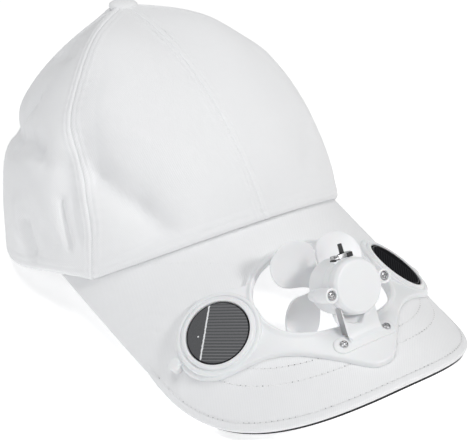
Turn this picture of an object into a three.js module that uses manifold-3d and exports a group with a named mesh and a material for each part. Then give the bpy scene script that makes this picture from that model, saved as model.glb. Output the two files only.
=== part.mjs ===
// Fan sun hat: a six panel cloth crown, a long curved peak with a hole in it, and a white plastic frame
// on the peak that carries two round solar cells and a small motor with a four blade fan.
//
// Millimetres, +Z up. The wearer looks towards -Y, so the wearer's right is -X. The hat lies on a
// surface at z = 0, on the back of its rim and on the two front corners of its peak.

import * as THREE from 'three';
import { mergeVertices } from 'three/addons/utils/BufferGeometryUtils.js';
import Module from 'manifold-3d';

const wasm = await Module();
wasm.setup();

const DEG = Math.PI / 180;

// Running gap between pieces that touch
const GAP = 0.3;

// Crown: six cloth panels that lean back from the rim to the button
const CLOTH = 1.8;
const RIM_HALF_WIDTH = 94;
const RIM_HALF_LENGTH = 96;
const CROWN_HEIGHT = 124;
// The button stands this far behind the middle of the rim
const CROWN_LEAN = RIM_HALF_LENGTH * 0.49;
const SIDE_SEAM_AT_RIM = 54.5;
const SIDE_SEAM_AT_TOP = 68.5;
// Shares of the way up between which the side seam turns back
const SIDE_SEAM_TURN_FROM = 0.12;
const SIDE_SEAM_TURN_TO = 0.5;
const BACK_SEAM = 120;
// Azimuths, from the front, over which the rim leaves the peak's surface and comes down to z = 0
const RIM_DROP_FROM = 55;
const RIM_DROP_TO = 115;
const BUTTON_RADIUS = 8.2;
const BUTTON_HEIGHT = 3.8;
// The cloth dome's upright edge, its stem, and the stem's end below the cloth
const BUTTON_EDGE = 0.9;
const BUTTON_STEM_RADIUS = 2.6;
const BUTTON_STEM_END = 1;
const BUTTON_HOLE = BUTTON_STEM_RADIUS + 1.3;
// Half of the slit that is left between two panels along a seam
const SEAM_MARGIN = 0.2;

// One row for each upright section of the crown, by its azimuth from the front. A section runs through
// the angle a from 0 at the rim to 90 degrees at the button. Its distance from the button's axis falls as
// cos(a)^inward * (1 - taper * sin(a)), and its height rises as sin(a)^upward.
const SECTIONS = [
  { azimuth: 0, inward: 0.82, taper: 0.17, upward: 1.19 },
  { azimuth: 60, inward: 0.29, taper: 0.45, upward: 0.59 },
  { azimuth: 120, inward: 1.82, taper: 0.15, upward: 0.49 },
  { azimuth: 180, inward: 0.9, taper: 0.35, upward: 0.85 },
];

// Dents and creases of the soft crown. Each runs along the wall between two places, given by azimuth
// and by share of the way from the rim to the button. Width and depth are shares of the crown's height,
// and a negative depth is a bulge.
const FOLDS = [
  { name: 'side crease', from: [-128, 0.43], to: [-86, 0.40], width: 0.065, depth: 0.048 },
  { name: 'side crease front end', from: [-86, 0.40], to: [-66, 0.42], width: 0.060, depth: 0.026 },
  { name: 'front dent', from: [-61, 0.38], to: [-34, 0.10], width: 0.085, depth: 0.032 },
  { name: 'bulge above dent', from: [-50, 0.50], to: [-26, 0.26], width: 0.10, depth: -0.018 },
  { name: 'upright crease', from: [-67, 0.28], to: [-62, 0.12], width: 0.060, depth: 0.020 },
  { name: 'side upright crease', from: [-82, 0.18], to: [-78, 0.08], width: 0.060, depth: 0.018 },
  { name: 'side hollow', from: [-102, 0.58], to: [-96, 0.45], width: 0.060, depth: 0.018 },
  { name: 'top crease', from: [-104, 0.74], to: [-92, 0.73], width: 0.050, depth: 0.018 },
  { name: 'left swelling', from: [66, 0.52], to: [52, 0.34], width: 0.12, depth: -0.020 },
  { name: 'left crease', from: [110, 0.44], to: [84, 0.34], width: 0.07, depth: 0.030 },
  { name: 'back dent', from: [150, 0.46], to: [205, 0.40], width: 0.13, depth: 0.030 },
];

// Peak: a board bent round a cylinder whose crest slopes down to the front. Arcs are measured across
// the peak on its upper face, stations forward along its crest from the crown's rim.
const PEAK_BOARD = 2.6;
const PEAK_RADIUS = 95.3;
const PEAK_PITCH = 13.5 * DEG;
const PEAK_LENGTH = 115.1;
const PEAK_SHOULDER_STATION = 29.8;
const PEAK_SHOULDER_ARC = 94.5;
const PEAK_REAR_ARC = 104;
const PEAK_FRONT_POWER = 2.25;
const PEAK_SIDE_POWER = 0.9;
const PEAK_TUCK = 1.5;
const PEAK_REAR_AZIMUTH = 68;
// The black band under the front edge, and the arc at which it runs out at each side
const TRIM_DEPTH = 4;
const TRIM_THICKNESS = 1.2;
const TRIM_ARC = 82;

// Frame: the white moulding on the peak
const FRAME_PLATE = 2.2;
const FRAME_BEAD = 0.9;
const FRAME_BEAD_WIDTH = 2.4;
const FRAME_RING = 3.4;
const HOLE_HALF_WIDTH = 33.6;
const HOLE_HALF_LENGTH = 26;
const HOLE_STATION = 50.8;
const HOLE_POWER = 2.25;
const HOLE_CLOTH_MARGIN = 1.2;
// Outline ahead of the row of cells: the tip of the nose, its shoulder and the waist beside it
const NOSE_REACH = 58;
const NOSE_TIP_HALF_WIDTH = 7;
const NOSE_TIP_ROUND = 3;
const NOSE_HALF_WIDTH = 21;
const NOSE_SHOULDER = 38.6;
const WAIST_HALF_WIDTH = 37;
const WAIST_REACH = 28.8;
// The outline's bend between nose and waist, out from the nose and ahead of the waist
const NOSE_BEND_OUT = 8;
const NOSE_BEND_AHEAD = 2;
// The bend between waist and seat, as shares of the seat's distance and of the waist's reach
const WAIST_BEND_OUT = 0.92;
const WAIST_BEND_REACH = 0.93;
// Where the web leaves each seat in front and behind, across and along, as shares of the seat's radius
const WEB_FRONT = [0.28, -0.96];
const WEB_REAR = [0.1, 0.97];
// Where the web meets the ring, as shares of the hole's half width and half length
const WEB_AT_RING = [0.85, 0.35];

// Solar cells
const CELL_RADIUS = 15.5;
const CELL_THICKNESS = 1.6;
const CELL_ARC = 54.4;
const CELL_STATION = 44.8;
const CELL_RECESS = 0.6;
const LOBE_RADIUS = 21;
const LOBE_HEIGHT = 3.7;
const LOBE_STEP = 0.9;
const LOBE_STEP_WIDTH = 2.2;
const NUB_RADIUS = 3.6;
const NUB_REACH = 24.5;
const NUB_BACK = 3;
const NUB_HEIGHT = 1.6;

// Motor and fan, along an axis that rises to the front through the middle of the hole
const AXIS_RISE = 30 * DEG;
const HUB_HEIGHT = 0.4;
const MOTOR_RADIUS = 13;
const MOTOR_FRONT = 30;
const MOTOR_SPLIT = 19.5;
const MOTOR_REAR = 5.6;
const MOTOR_REAR_ROUND = 3;
const CAP_BEVEL = 1.3;
const COLLAR_LENGTH = 4;
const COLLAR_GROOVE = 0.6;
const EAR_OFFSET = 14.9;
const EAR_RADIUS = 3.5;
const EAR_SEAT = 28.2;
const EAR_FRONT = 29.4;
// The boss behind each ear, which narrows to the rear
const EAR_TAIL_RADIUS = 1.8;
const EAR_TAIL_LENGTH = 6;
const FAN_RADIUS = 29.8;
const FAN_HUB_RADIUS = 5.2;
const FAN_HUB_LENGTH = 8;
const FAN_HUB_ROUND = 1.2;
const BLADES = 4;
const BLADE_HALF_WIDTH = 12.2;
const BLADE_THICKNESS = 1.2;
const BLADE_PITCH = -18 * DEG;
const FIRST_BLADE = 38.6 * DEG;
// The blades stand this far behind the hub's middle
const BLADE_SETBACK = 2;
// Radius at which a blade starts in the hub, as a share of the hub's radius
const BLADE_ROOT = 0.6;
// Radius of the blade's widest place and its length to the tip, as shares of the fan's radius
const BLADE_WIDEST = 0.67;
const BLADE_REACH = 0.985;
// Width at the root and least width at the tip, as shares of the widest
const BLADE_ROOT_WIDTH = 0.3;
const BLADE_TIP_WIDTH = 0.14;
// How far the blade's cross lines bend round the axis: 0 is straight, 1 is round
const BLADE_BEND = 0.6;
const SHAFT_RADIUS = 1;
const SHAFT_SEAT = 4;

// Switch on the motor's top
const SWITCH_LENGTH = 9.4;
const SWITCH_WIDTH = 3.6;
const SWITCH_HEIGHT = 2;
const SWITCH_SEAT = 12.8;
const SWITCH_SETBACK = 6.6;
const SWITCH_SEAT_MARGIN = 1;
const SWITCH_SEAT_LIP = 0.2;
const LEVER_WIDTH = 2;
const LEVER_THICKNESS = 1.4;
const LEVER_SINK = 1.2;
const LEVER_HEIGHT = 4.5;
const LEVER_OFFSET = 0.9;
const LEVER_TRAVEL = 1.8;

// Bracket under the motor and the screws
const FOOT_HALF_WIDTH = 11.7;
const FOOT_EAR_RADIUS = 5.2;
const FOOT_THICKNESS = 1.3;
const FOOT_REACH = 40.6;
const FOOT_LENGTH = 11;
const PEDESTAL_HALF_WIDTH = 10.6;
const PEDESTAL_LENGTH = 5.5;
// How far the pedestal leans back to the motor, and its rear shoulder as a share of the motor's radius
const PEDESTAL_LEAN = 4;
const PEDESTAL_SHOULDER = 0.6;
const SLOT_HALF_WIDTH = 6;
const SLOT_DEPTH = 3;
const SLOT_FLOOR = 1.2;
const SCREW_HEAD_RADIUS = 1.9;
const SCREW_HEAD_HEIGHT = 1;
const SCREW_SHANK_RADIUS = 1;
const SCREW_SHANK_LENGTH = 1.6;
const SCREW_CROSS_HALF_WIDTH = 0.35;
// Radius of the head's top and reach of its cross, as shares of the head's radius
const SCREW_HEAD_TAPER = 0.8;
const SCREW_CROSS_REACH = 0.62;

const CLOTH_FINISH = { color: 0xf2f2f3, roughness: 0.95, metalness: 0 };
const TRIM_FINISH = { color: 0x161616, roughness: 0.9, metalness: 0 };
const PLASTIC_FINISH = { color: 0xf0f1f2, roughness: 0.35, metalness: 0 };
const CELL_FINISH = { color: 0x3a3c40, roughness: 0.25, metalness: 0.1 };
const STEEL_FINISH = { color: 0xb9bbbd, roughness: 0.3, metalness: 1 };
const BLACK_FINISH = { color: 0x121212, roughness: 0.5, metalness: 0 };

const UP = new THREE.Vector3(0, 0, 1);

// Small helpers

/** Blends from 0 to 1 as x goes from a to b. */
function ease(x, a, b) {
  return THREE.MathUtils.smoothstep(x, a, b);
}

/** A closed geometry from points and triangles, with its faces turned outwards. */
function closedGeometry(points, triangles) {
  let volume = 0;
  for (const [a, b, c] of triangles) {
    volume += points[a].dot(new THREE.Vector3().crossVectors(points[b], points[c]));
  }
  const order = volume < 0 ? triangles.map(([a, b, c]) => [a, c, b]) : triangles;
  const geometry = new THREE.BufferGeometry();
  geometry.setAttribute('position', new THREE.Float32BufferAttribute(points.flatMap((p) => p.toArray()), 3));
  geometry.setIndex(order.flat());
  return geometry;
}

/** A wall between two grids of points of the same size, with strips that close its four borders. */
function wallBetween(upper, lower) {
  const rows = upper.length;
  const columns = upper[0].length;
  const at = (side, row, column) => (side * rows + row) * columns + column;
  const triangles = [];
  const quad = (a, b, c, d) => triangles.push([a, b, c], [a, c, d]);
  for (let r = 0; r < rows - 1; r++) {
    for (let c = 0; c < columns - 1; c++) {
      quad(at(0, r, c), at(0, r, c + 1), at(0, r + 1, c + 1), at(0, r + 1, c));
      quad(at(1, r, c), at(1, r + 1, c), at(1, r + 1, c + 1), at(1, r, c + 1));
    }
  }
  const lastRow = rows - 1;
  const lastColumn = columns - 1;
  for (let c = 0; c < lastColumn; c++) {
    quad(at(0, 0, c + 1), at(0, 0, c), at(1, 0, c), at(1, 0, c + 1));
    quad(at(0, lastRow, c), at(0, lastRow, c + 1), at(1, lastRow, c + 1), at(1, lastRow, c));
  }
  for (let r = 0; r < lastRow; r++) {
    quad(at(0, r, 0), at(0, r + 1, 0), at(1, r + 1, 0), at(1, r, 0));
    quad(at(0, r + 1, lastColumn), at(0, r, lastColumn), at(1, r, lastColumn), at(1, r + 1, lastColumn));
  }
  return closedGeometry([...upper.flat(), ...lower.flat()], triangles);
}

/** A closed three.js geometry as a solid that can be joined and cut. */
function solid(geometry) {
  const bare = new THREE.BufferGeometry();
  bare.setAttribute('position', geometry.attributes.position.clone());
  if (geometry.index) bare.setIndex(geometry.index.clone());
  const merged = mergeVertices(bare, 1e-4);
  const mesh = new wasm.Mesh({
    numProp: 3,
    vertProperties: new Float32Array(merged.attributes.position.array),
    triVerts: new Uint32Array(merged.index.array),
  });
  return new wasm.Manifold(mesh);
}

/** The geometry of a joined or cut solid. */
function geometryOf(manifold) {
  const { vertProperties, triVerts } = manifold.getMesh();
  const geometry = new THREE.BufferGeometry();
  geometry.setAttribute('position', new THREE.BufferAttribute(vertProperties, 3));
  geometry.setIndex(new THREE.BufferAttribute(triVerts, 1));
  return geometry;
}

/** Joins several solids into one. */
function join(...solids) {
  return solids.reduce((whole, next) => whole.add(next));
}

/** A flat outline as a solid that runs along Z from one height to another. */
function prism(shape, from, to, curveSegments = 10) {
  const geometry = new THREE.ExtrudeGeometry(shape, { depth: to - from, bevelEnabled: false, curveSegments });
  return solid(geometry.translate(0, 0, from));
}

/** A round rod along Z, with its own radius at each end. */
function rod(x, y, from, to, radiusFrom, radiusTo = radiusFrom, sides = 24) {
  const geometry = new THREE.CylinderGeometry(radiusTo, radiusFrom, to - from, sides);
  geometry.rotateX(90 * DEG);
  return solid(geometry.translate(x, y, (from + to) / 2));
}

/** A box given by its lowest and highest corners. */
function box(x0, x1, y0, y1, z0, z1) {
  const geometry = new THREE.BoxGeometry(x1 - x0, y1 - y0, z1 - z0);
  return solid(geometry.translate((x0 + x1) / 2, (y0 + y1) / 2, (z0 + z1) / 2));
}

/** A solid turned about the Z axis from a profile of radius and height. */
function turned(profile, sides = 28) {
  const points = profile.map(([radius, height]) => new THREE.Vector2(radius, height));
  return solid(new THREE.LatheGeometry(points, sides).rotateX(90 * DEG));
}

/** Places a solid by a matrix. */
function placed(manifold, matrix) {
  return solid(geometryOf(manifold).applyMatrix4(matrix));
}

/** An oval outline between an ellipse and a rectangle, with its middle at x = 0, y = middle. */
function ovalShape(halfWidth, halfLength, power, middle, count = 36) {
  const points = [];
  for (let k = 0; k < count; k++) {
    const turn = (2 * Math.PI * k) / count;
    const across = Math.sign(Math.cos(turn)) * Math.abs(Math.cos(turn)) ** (2 / power);
    const along = Math.sign(Math.sin(turn)) * Math.abs(Math.sin(turn)) ** (2 / power);
    points.push(new THREE.Vector2(across * halfWidth, middle + along * halfLength));
  }
  return new THREE.Shape(points);
}

/** A rectangle with round corners. */
function roundedRectangle(x0, x1, y0, y1, radius) {
  const shape = new THREE.Shape();
  shape.moveTo(x0 + radius, y0);
  shape.lineTo(x1 - radius, y0);
  shape.absarc(x1 - radius, y0 + radius, radius, -90 * DEG, 0);
  shape.lineTo(x1, y1 - radius);
  shape.absarc(x1 - radius, y1 - radius, radius, 0, 90 * DEG);
  shape.lineTo(x0 + radius, y1);
  shape.absarc(x0 + radius, y1 - radius, radius, 90 * DEG, 180 * DEG);
  shape.lineTo(x0, y0 + radius);
  shape.absarc(x0 + radius, y0 + radius, radius, 180 * DEG, 270 * DEG);
  return shape;
}

/** A named mesh with its material. */
function piece(name, shape, finish) {
  const geometry = shape instanceof THREE.BufferGeometry ? shape : geometryOf(shape);
  geometry.computeVertexNormals();
  const mesh = new THREE.Mesh(geometry, new THREE.MeshStandardMaterial(finish));
  mesh.name = name;
  return mesh;
}

// The peak's surface. Local axes: X across, -Y forward along the crest, +Z up from the crest.

/** The point at an arc across the peak, a station along it and a height over its upper face. */
function onPeak(arc, station, height) {
  const turn = arc / PEAK_RADIUS;
  const radius = PEAK_RADIUS + height;
  return new THREE.Vector3(radius * Math.sin(turn), -station, radius * Math.cos(turn) - PEAK_RADIUS);
}

/** Half of the front edge of the peak: 0 is its tip, 1 is its shoulder. */
function frontEdge(share, arcReach = PEAK_SHOULDER_ARC, stationReach = PEAK_LENGTH) {
  const turn = share * 90 * DEG;
  return {
    arc: arcReach * Math.sin(turn) ** (2 / PEAK_FRONT_POWER),
    station: PEAK_SHOULDER_STATION
      + (stationReach - PEAK_SHOULDER_STATION) * Math.cos(turn) ** (2 / PEAK_FRONT_POWER),
  };
}

const lowestEdge = Math.min(...Array.from({ length: 91 }, (_, k) => {
  const { arc, station } = frontEdge(k / 90);
  return onPeak(arc, station, -PEAK_BOARD).applyAxisAngle(new THREE.Vector3(1, 0, 0), PEAK_PITCH).z;
}));

// Where the crest meets the crown's rim; the peak's lowest corners are then at z = 0
const seam = new THREE.Vector3(0, -RIM_HALF_LENGTH, -lowestEdge);
const crestUp = new THREE.Vector3(0, -Math.sin(PEAK_PITCH), Math.cos(PEAK_PITCH));
const crestForward = new THREE.Vector3(0, -Math.cos(PEAK_PITCH), -Math.sin(PEAK_PITCH));

/** The arc, station and height of the peak's upper face under a point given in plan. */
function underPlan(x, y) {
  const turn = Math.asin(THREE.MathUtils.clamp(x / PEAK_RADIUS, -0.99, 0.99));
  const sag = PEAK_RADIUS * (Math.cos(turn) - 1);
  const station = (y - seam.y - crestUp.y * sag) / crestForward.y;
  return { arc: turn * PEAK_RADIUS, station, z: seam.z + crestUp.z * sag + crestForward.z * station };
}

// Crown

/** The plan of the rim at an azimuth from the front, moved in by a distance. */
function rimPlan(azimuth, inset = 0) {
  return new THREE.Vector2(
    (RIM_HALF_WIDTH - inset) * Math.sin(azimuth * DEG),
    -(RIM_HALF_LENGTH - inset) * Math.cos(azimuth * DEG),
  );
}

const rimLeaves = rimPlan(RIM_DROP_FROM);
const sideRimHeight = underPlan(rimLeaves.x, rimLeaves.y).z + GAP;

/** Height of the rim: it follows the peak in front and comes down to z = 0 at the sides and back. */
function rimHeight(azimuth, x, y) {
  const around = Math.abs(azimuth);
  const side = sideRimHeight * (1 - ease(around, RIM_DROP_FROM, RIM_DROP_TO));
  return around < PEAK_REAR_AZIMUTH + 2 ? Math.max(side, underPlan(x, y).z + GAP) : side;
}

/** The section's shape at an azimuth, blended between the rows of the table. */
function sectionAt(azimuth) {
  const next = Math.max(1, SECTIONS.findIndex((row) => row.azimuth >= azimuth));
  const [a, b] = [SECTIONS[next - 1], SECTIONS[next]];
  const share = ease(azimuth, a.azimuth, b.azimuth);
  const blend = (key) => THREE.MathUtils.lerp(a[key], b[key], share);
  return { inward: blend('inward'), taper: blend('taper'), upward: blend('upward') };
}

const SECTION_STEPS = 90;

/** Points of the outside of the crown from the rim to the button's hole, at any azimuth. */
function sectionCurve(azimuth) {
  const around = Math.abs(THREE.MathUtils.euclideanModulo(azimuth + 180, 360) - 180);
  const { inward, taper, upward } = sectionAt(around);
  const rim = rimPlan(azimuth);
  const rimZ = rimHeight(around, rim.x, rim.y);
  const span = Math.hypot(rim.x, rim.y - CROWN_LEAN);
  const points = [];
  for (let k = 0; k <= SECTION_STEPS; k++) {
    const angle = 90 * DEG * (1 - (1 - (k / SECTION_STEPS) ** 2) ** 3.5);
    const out = Math.max(Math.cos(angle), 0) ** inward * (1 - taper * Math.sin(angle));
    const rise = Math.sin(angle) ** upward;
    const share = Math.max(out, BUTTON_HOLE / span);
    points.push(new THREE.Vector3(
      rim.x * share,
      rim.y * share + CROWN_LEAN * (1 - share),
      rimZ + (CROWN_HEIGHT - rimZ) * rise,
    ));
    if (out * span < BUTTON_HOLE) break;
  }
  return points;
}

/** A point on the outside of the smooth crown: share 0 is the rim and 1 is the button's hole. */
function smoothCrown(azimuth, share) {
  const points = sectionCurve(azimuth);
  const lengths = [0];
  for (let k = 1; k < points.length; k++) lengths.push(lengths[k - 1] + points[k].distanceTo(points[k - 1]));
  const target = share * lengths.at(-1);
  const next = Math.max(1, lengths.findIndex((length) => length >= target - 1e-9));
  const part = (target - lengths[next - 1]) / (lengths[next] - lengths[next - 1]);
  return points[next - 1].clone().lerp(points[next], THREE.MathUtils.clamp(part, 0, 1));
}

/** The direction into the crown, square to its wall. */
function inwards(azimuth, share) {
  const low = Math.max(share - 0.02, 0);
  const high = Math.min(share + 0.02, 1);
  const rise = smoothCrown(azimuth, high).sub(smoothCrown(azimuth, low));
  const round = smoothCrown(azimuth + 1.5, share).sub(smoothCrown(azimuth - 1.5, share));
  return rise.cross(round).normalize();
}

const foldLines = FOLDS.map((fold) => {
  const middle = [(fold.from[0] + fold.to[0]) / 2, (fold.from[1] + fold.to[1]) / 2];
  const [a, b, c] = [fold.from, middle, fold.to].map((place) => smoothCrown(...place));
  return { ...fold, lines: [new THREE.Line3(a, b), new THREE.Line3(b, c)] };
});

/** How far the folds push the wall in at a point. */
function foldDepth(point) {
  let depth = 0;
  for (const fold of foldLines) {
    const distance = Math.min(...fold.lines.map((line) => (
      line.closestPointToPoint(point, true, new THREE.Vector3()).distanceTo(point))));
    depth += fold.depth * CROWN_HEIGHT * Math.exp(-((distance / (fold.width * CROWN_HEIGHT)) ** 2));
  }
  return depth;
}

/** A point in the crown's wall, a depth below its outside, with the folds in. */
function crownWall(azimuth, share, depth) {
  if (share === 0) {
    const rim = rimPlan(azimuth, depth);
    return new THREE.Vector3(rim.x, rim.y, rimHeight(azimuth, rim.x, rim.y));
  }
  const point = smoothCrown(azimuth, share);
  const fold = foldDepth(point) * ease(share, 0, 0.07) * (1 - ease(share, 0.85, 1));
  return point.addScaledVector(inwards(azimuth, share), depth + fold);
}

const sideSeam = (share) => THREE.MathUtils.lerp(
  SIDE_SEAM_AT_RIM, SIDE_SEAM_AT_TOP, ease(share, SIDE_SEAM_TURN_FROM, SIDE_SEAM_TURN_TO));
const frontSeam = () => 0;
const backSideSeam = () => BACK_SEAM;
const backSeam = () => 180;

const PANEL_COLUMNS = 12;
const PANEL_ROWS = 12;

/** One sewn panel of the crown between two seams, on the right (side -1) or left (side 1). */
function crownPanel(side, fromSeam, toSeam) {
  const layer = (depth) => {
    const grid = [];
    for (let row = 0; row <= PANEL_ROWS; row++) {
      const share = row / PANEL_ROWS;
      const middle = (fromSeam(share) + toSeam(share)) / 2;
      const point = smoothCrown(side * middle, share);
      const radius = Math.hypot(point.x, point.y - CROWN_LEAN * share);
      const margin = SEAM_MARGIN / radius / DEG;
      const low = fromSeam(share) + margin;
      const high = toSeam(share) - margin;
      grid.push(Array.from({ length: PANEL_COLUMNS + 1 }, (_, column) => (
        crownWall(side * THREE.MathUtils.lerp(low, high, column / PANEL_COLUMNS), share, depth))));
    }
    return grid;
  };
  return wallBetween(layer(0), layer(CLOTH));
}

/** The cloth button: a low dome with a stem in the hole where the panels meet. */
function buttonSolid() {
  const stemEnd = -CLOTH - BUTTON_STEM_END;
  const profile = [[0, stemEnd], [BUTTON_STEM_RADIUS, stemEnd], [BUTTON_STEM_RADIUS, GAP]];
  profile.push([BUTTON_RADIUS, GAP], [BUTTON_RADIUS, GAP + BUTTON_EDGE]);
  const steps = 4;
  for (let k = 1; k <= steps; k++) {
    const turn = (k / steps) * 90 * DEG;
    const radius = k === steps ? 0 : BUTTON_RADIUS * Math.cos(turn);
    profile.push([radius, GAP + BUTTON_EDGE + (BUTTON_HEIGHT - BUTTON_EDGE) * Math.sin(turn)]);
  }
  return turned(profile, 20);
}

// Peak

const HOLE_PRISM_DEPTH = 60;

/** The board's outline at the rear, under the crown's wall: -1 and 1 are its corners. */
function rearEdge(share) {
  const { x, y } = rimPlan(share * PEAK_REAR_AZIMUTH, CLOTH + PEAK_TUCK);
  return underPlan(x, y);
}

const FRONT_SHARE = 0.62;
const CORNER_DEPTH = 3;

/** The board's free edge from one rear corner over the tip to the other. */
function freeEdge(share) {
  const size = Math.abs(share);
  if (size <= FRONT_SHARE) {
    const edge = frontEdge(size / FRONT_SHARE);
    return { arc: Math.sign(share) * edge.arc, station: edge.station };
  }
  const back = (size - FRONT_SHARE) / (1 - FRONT_SHARE);
  return {
    arc: Math.sign(share) * THREE.MathUtils.lerp(PEAK_SHOULDER_ARC, PEAK_REAR_ARC, back ** PEAK_SIDE_POWER),
    station: THREE.MathUtils.lerp(PEAK_SHOULDER_STATION, rearEdge(1).station - CORNER_DEPTH, back),
  };
}

/** The curved board, with the hole for the fan cut through. */
function peakSolid() {
  const columns = 46;
  const rows = 5;
  const layer = (height) => Array.from({ length: rows + 1 }, (_, row) => (
    Array.from({ length: columns + 1 }, (__, column) => {
      const share = (2 * column) / columns - 1;
      const rear = rearEdge(share);
      const front = freeEdge(share);
      const along = row / rows;
      return onPeak(
        THREE.MathUtils.lerp(rear.arc, front.arc, along),
        THREE.MathUtils.lerp(rear.station, front.station, along),
        height,
      );
    })));
  const margin = HOLE_CLOTH_MARGIN;
  const hole = ovalShape(HOLE_HALF_WIDTH + margin, HOLE_HALF_LENGTH + margin, HOLE_POWER, -HOLE_STATION);
  return solid(wallBetween(layer(0), layer(-PEAK_BOARD)))
    .subtract(prism(hole, -HOLE_PRISM_DEPTH, HOLE_PRISM_DEPTH));
}

/** The black band under the front edge of the board. */
function trimGeometry() {
  const columns = 36;
  const lastShare = (Math.asin((TRIM_ARC / PEAK_SHOULDER_ARC) ** (PEAK_FRONT_POWER / 2)) / 90) / DEG;
  const layer = (height) => [0, TRIM_DEPTH].map((inset) => (
    Array.from({ length: columns + 1 }, (_, column) => {
      const share = ((2 * column) / columns - 1) * lastShare;
      const edge = frontEdge(Math.abs(share), PEAK_SHOULDER_ARC - inset, PEAK_LENGTH - inset);
      return onPeak(Math.sign(share) * edge.arc, edge.station, height);
    })));
  const top = -PEAK_BOARD - GAP;
  return wallBetween(layer(top), layer(top - TRIM_THICKNESS));
}

// Frame

/** A long cylinder that follows the peak's upper face at a height over it. */
function peakCylinder(height) {
  const length = 4 * PEAK_LENGTH;
  const geometry = new THREE.CylinderGeometry(PEAK_RADIUS + height, PEAK_RADIUS + height, length, 110);
  return solid(geometry.translate(0, 0, -PEAK_RADIUS));
}

/** The matrix that stands a piece on the peak: its Z is square to the surface at a place. */
function stand(arc, station, height) {
  const matrix = new THREE.Matrix4().makeRotationY(arc / PEAK_RADIUS);
  return matrix.setPosition(onPeak(arc, station, height));
}

/** Outline of the frame's plate: the nose in front, a waist at each side and the webs to the lobes. */
function webShape() {
  const lobe = onPeak(CELL_ARC, CELL_STATION, FRAME_PLATE);
  const row = -CELL_STATION;
  const shape = new THREE.Shape();
  const half = (side) => [
    [side * NOSE_TIP_HALF_WIDTH, row - NOSE_REACH + NOSE_TIP_ROUND],
    [side * NOSE_HALF_WIDTH, row - NOSE_SHOULDER],
    [side * WAIST_HALF_WIDTH, row - WAIST_REACH],
    [side * (lobe.x + WEB_FRONT[0] * LOBE_RADIUS), row + WEB_FRONT[1] * LOBE_RADIUS],
    [side * (lobe.x + WEB_REAR[0] * LOBE_RADIUS), row + WEB_REAR[1] * LOBE_RADIUS],
    [side * WEB_AT_RING[0] * HOLE_HALF_WIDTH, row + WEB_AT_RING[1] * HOLE_HALF_LENGTH],
  ];
  const [tip, shoulder, waist, lobeFront, lobeRear, ring] = half(1);
  const [tip2, shoulder2, waist2, lobeFront2, lobeRear2, ring2] = half(-1);
  const noseBend = (side) => [side * (NOSE_HALF_WIDTH + NOSE_BEND_OUT), row - WAIST_REACH - NOSE_BEND_AHEAD];
  const waistBend = (side) => [side * WAIST_BEND_OUT * lobe.x, row - WAIST_BEND_REACH * WAIST_REACH];
  shape.moveTo(...tip);
  shape.lineTo(...shoulder);
  shape.quadraticCurveTo(...noseBend(1), ...waist);
  shape.quadraticCurveTo(...waistBend(1), ...lobeFront);
  shape.lineTo(...lobeRear);
  shape.lineTo(...ring);
  shape.lineTo(...ring2);
  shape.lineTo(...lobeRear2);
  shape.lineTo(...lobeFront2);
  shape.quadraticCurveTo(...waistBend(-1), ...waist2);
  shape.quadraticCurveTo(...noseBend(-1), ...shoulder2);
  shape.lineTo(...tip2);
  shape.quadraticCurveTo(0, row - NOSE_REACH - NOSE_TIP_ROUND, ...tip);
  return shape;
}

const LOBE_SIDES = 30;
const lobePocket = LOBE_HEIGHT - CELL_RECESS - CELL_THICKNESS;

/** One round seat for a solar cell, with its stepped rim and the small nub at its outer side. */
function lobeSolid(side) {
  const seat = join(
    rod(0, 0, -LOBE_RADIUS / 2, LOBE_HEIGHT - LOBE_STEP, LOBE_RADIUS, LOBE_RADIUS, LOBE_SIDES),
    rod(0, 0, 0, LOBE_HEIGHT, CELL_RADIUS + LOBE_STEP_WIDTH, CELL_RADIUS + LOBE_STEP_WIDTH, LOBE_SIDES),
    rod(side * NUB_REACH, NUB_BACK, -LOBE_RADIUS / 2, NUB_HEIGHT, NUB_RADIUS, NUB_RADIUS - 1, 16),
  );
  const nubSeat = rod(side * LOBE_RADIUS, NUB_BACK, -LOBE_RADIUS / 2, NUB_HEIGHT, NUB_RADIUS, NUB_RADIUS - 1, 16);
  return placed(seat.add(nubSeat), stand(side * CELL_ARC, CELL_STATION, 0));
}

/** The white frame in one piece: plate, bead round the hole and two seats, cut to lie on the peak. */
function frameSolid() {
  const deep = HOLE_PRISM_DEPTH;
  const oval = (grow) => prism(
    ovalShape(HOLE_HALF_WIDTH + grow, HOLE_HALF_LENGTH + grow, HOLE_POWER, -HOLE_STATION), -deep, deep);
  const plate = oval(FRAME_RING).add(prism(webShape(), -deep, deep)).intersect(peakCylinder(FRAME_PLATE));
  const bead = oval(FRAME_BEAD_WIDTH).intersect(peakCylinder(FRAME_PLATE + FRAME_BEAD));
  let frame = join(plate, bead, lobeSolid(1), lobeSolid(-1)).subtract(oval(0));
  for (const side of [-1, 1]) {
    const pocket = rod(0, 0, lobePocket - GAP, 2 * LOBE_HEIGHT, CELL_RADIUS + GAP, CELL_RADIUS + GAP, LOBE_SIDES);
    frame = frame.subtract(placed(pocket, stand(side * CELL_ARC, CELL_STATION, 0)));
  }
  return frame.subtract(peakCylinder(GAP));
}

/** A round solar cell, standing in its pocket. */
function cellSolid(side) {
  const cell = rod(0, 0, lobePocket, lobePocket + CELL_THICKNESS, CELL_RADIUS, CELL_RADIUS, LOBE_SIDES);
  return placed(cell, stand(side * CELL_ARC, CELL_STATION, 0));
}

// Motor. Local axes: X across, Y up from the axis, Z forward along it, with the fan's hub at the origin.

const shaftBore = SHAFT_RADIUS + GAP;

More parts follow.
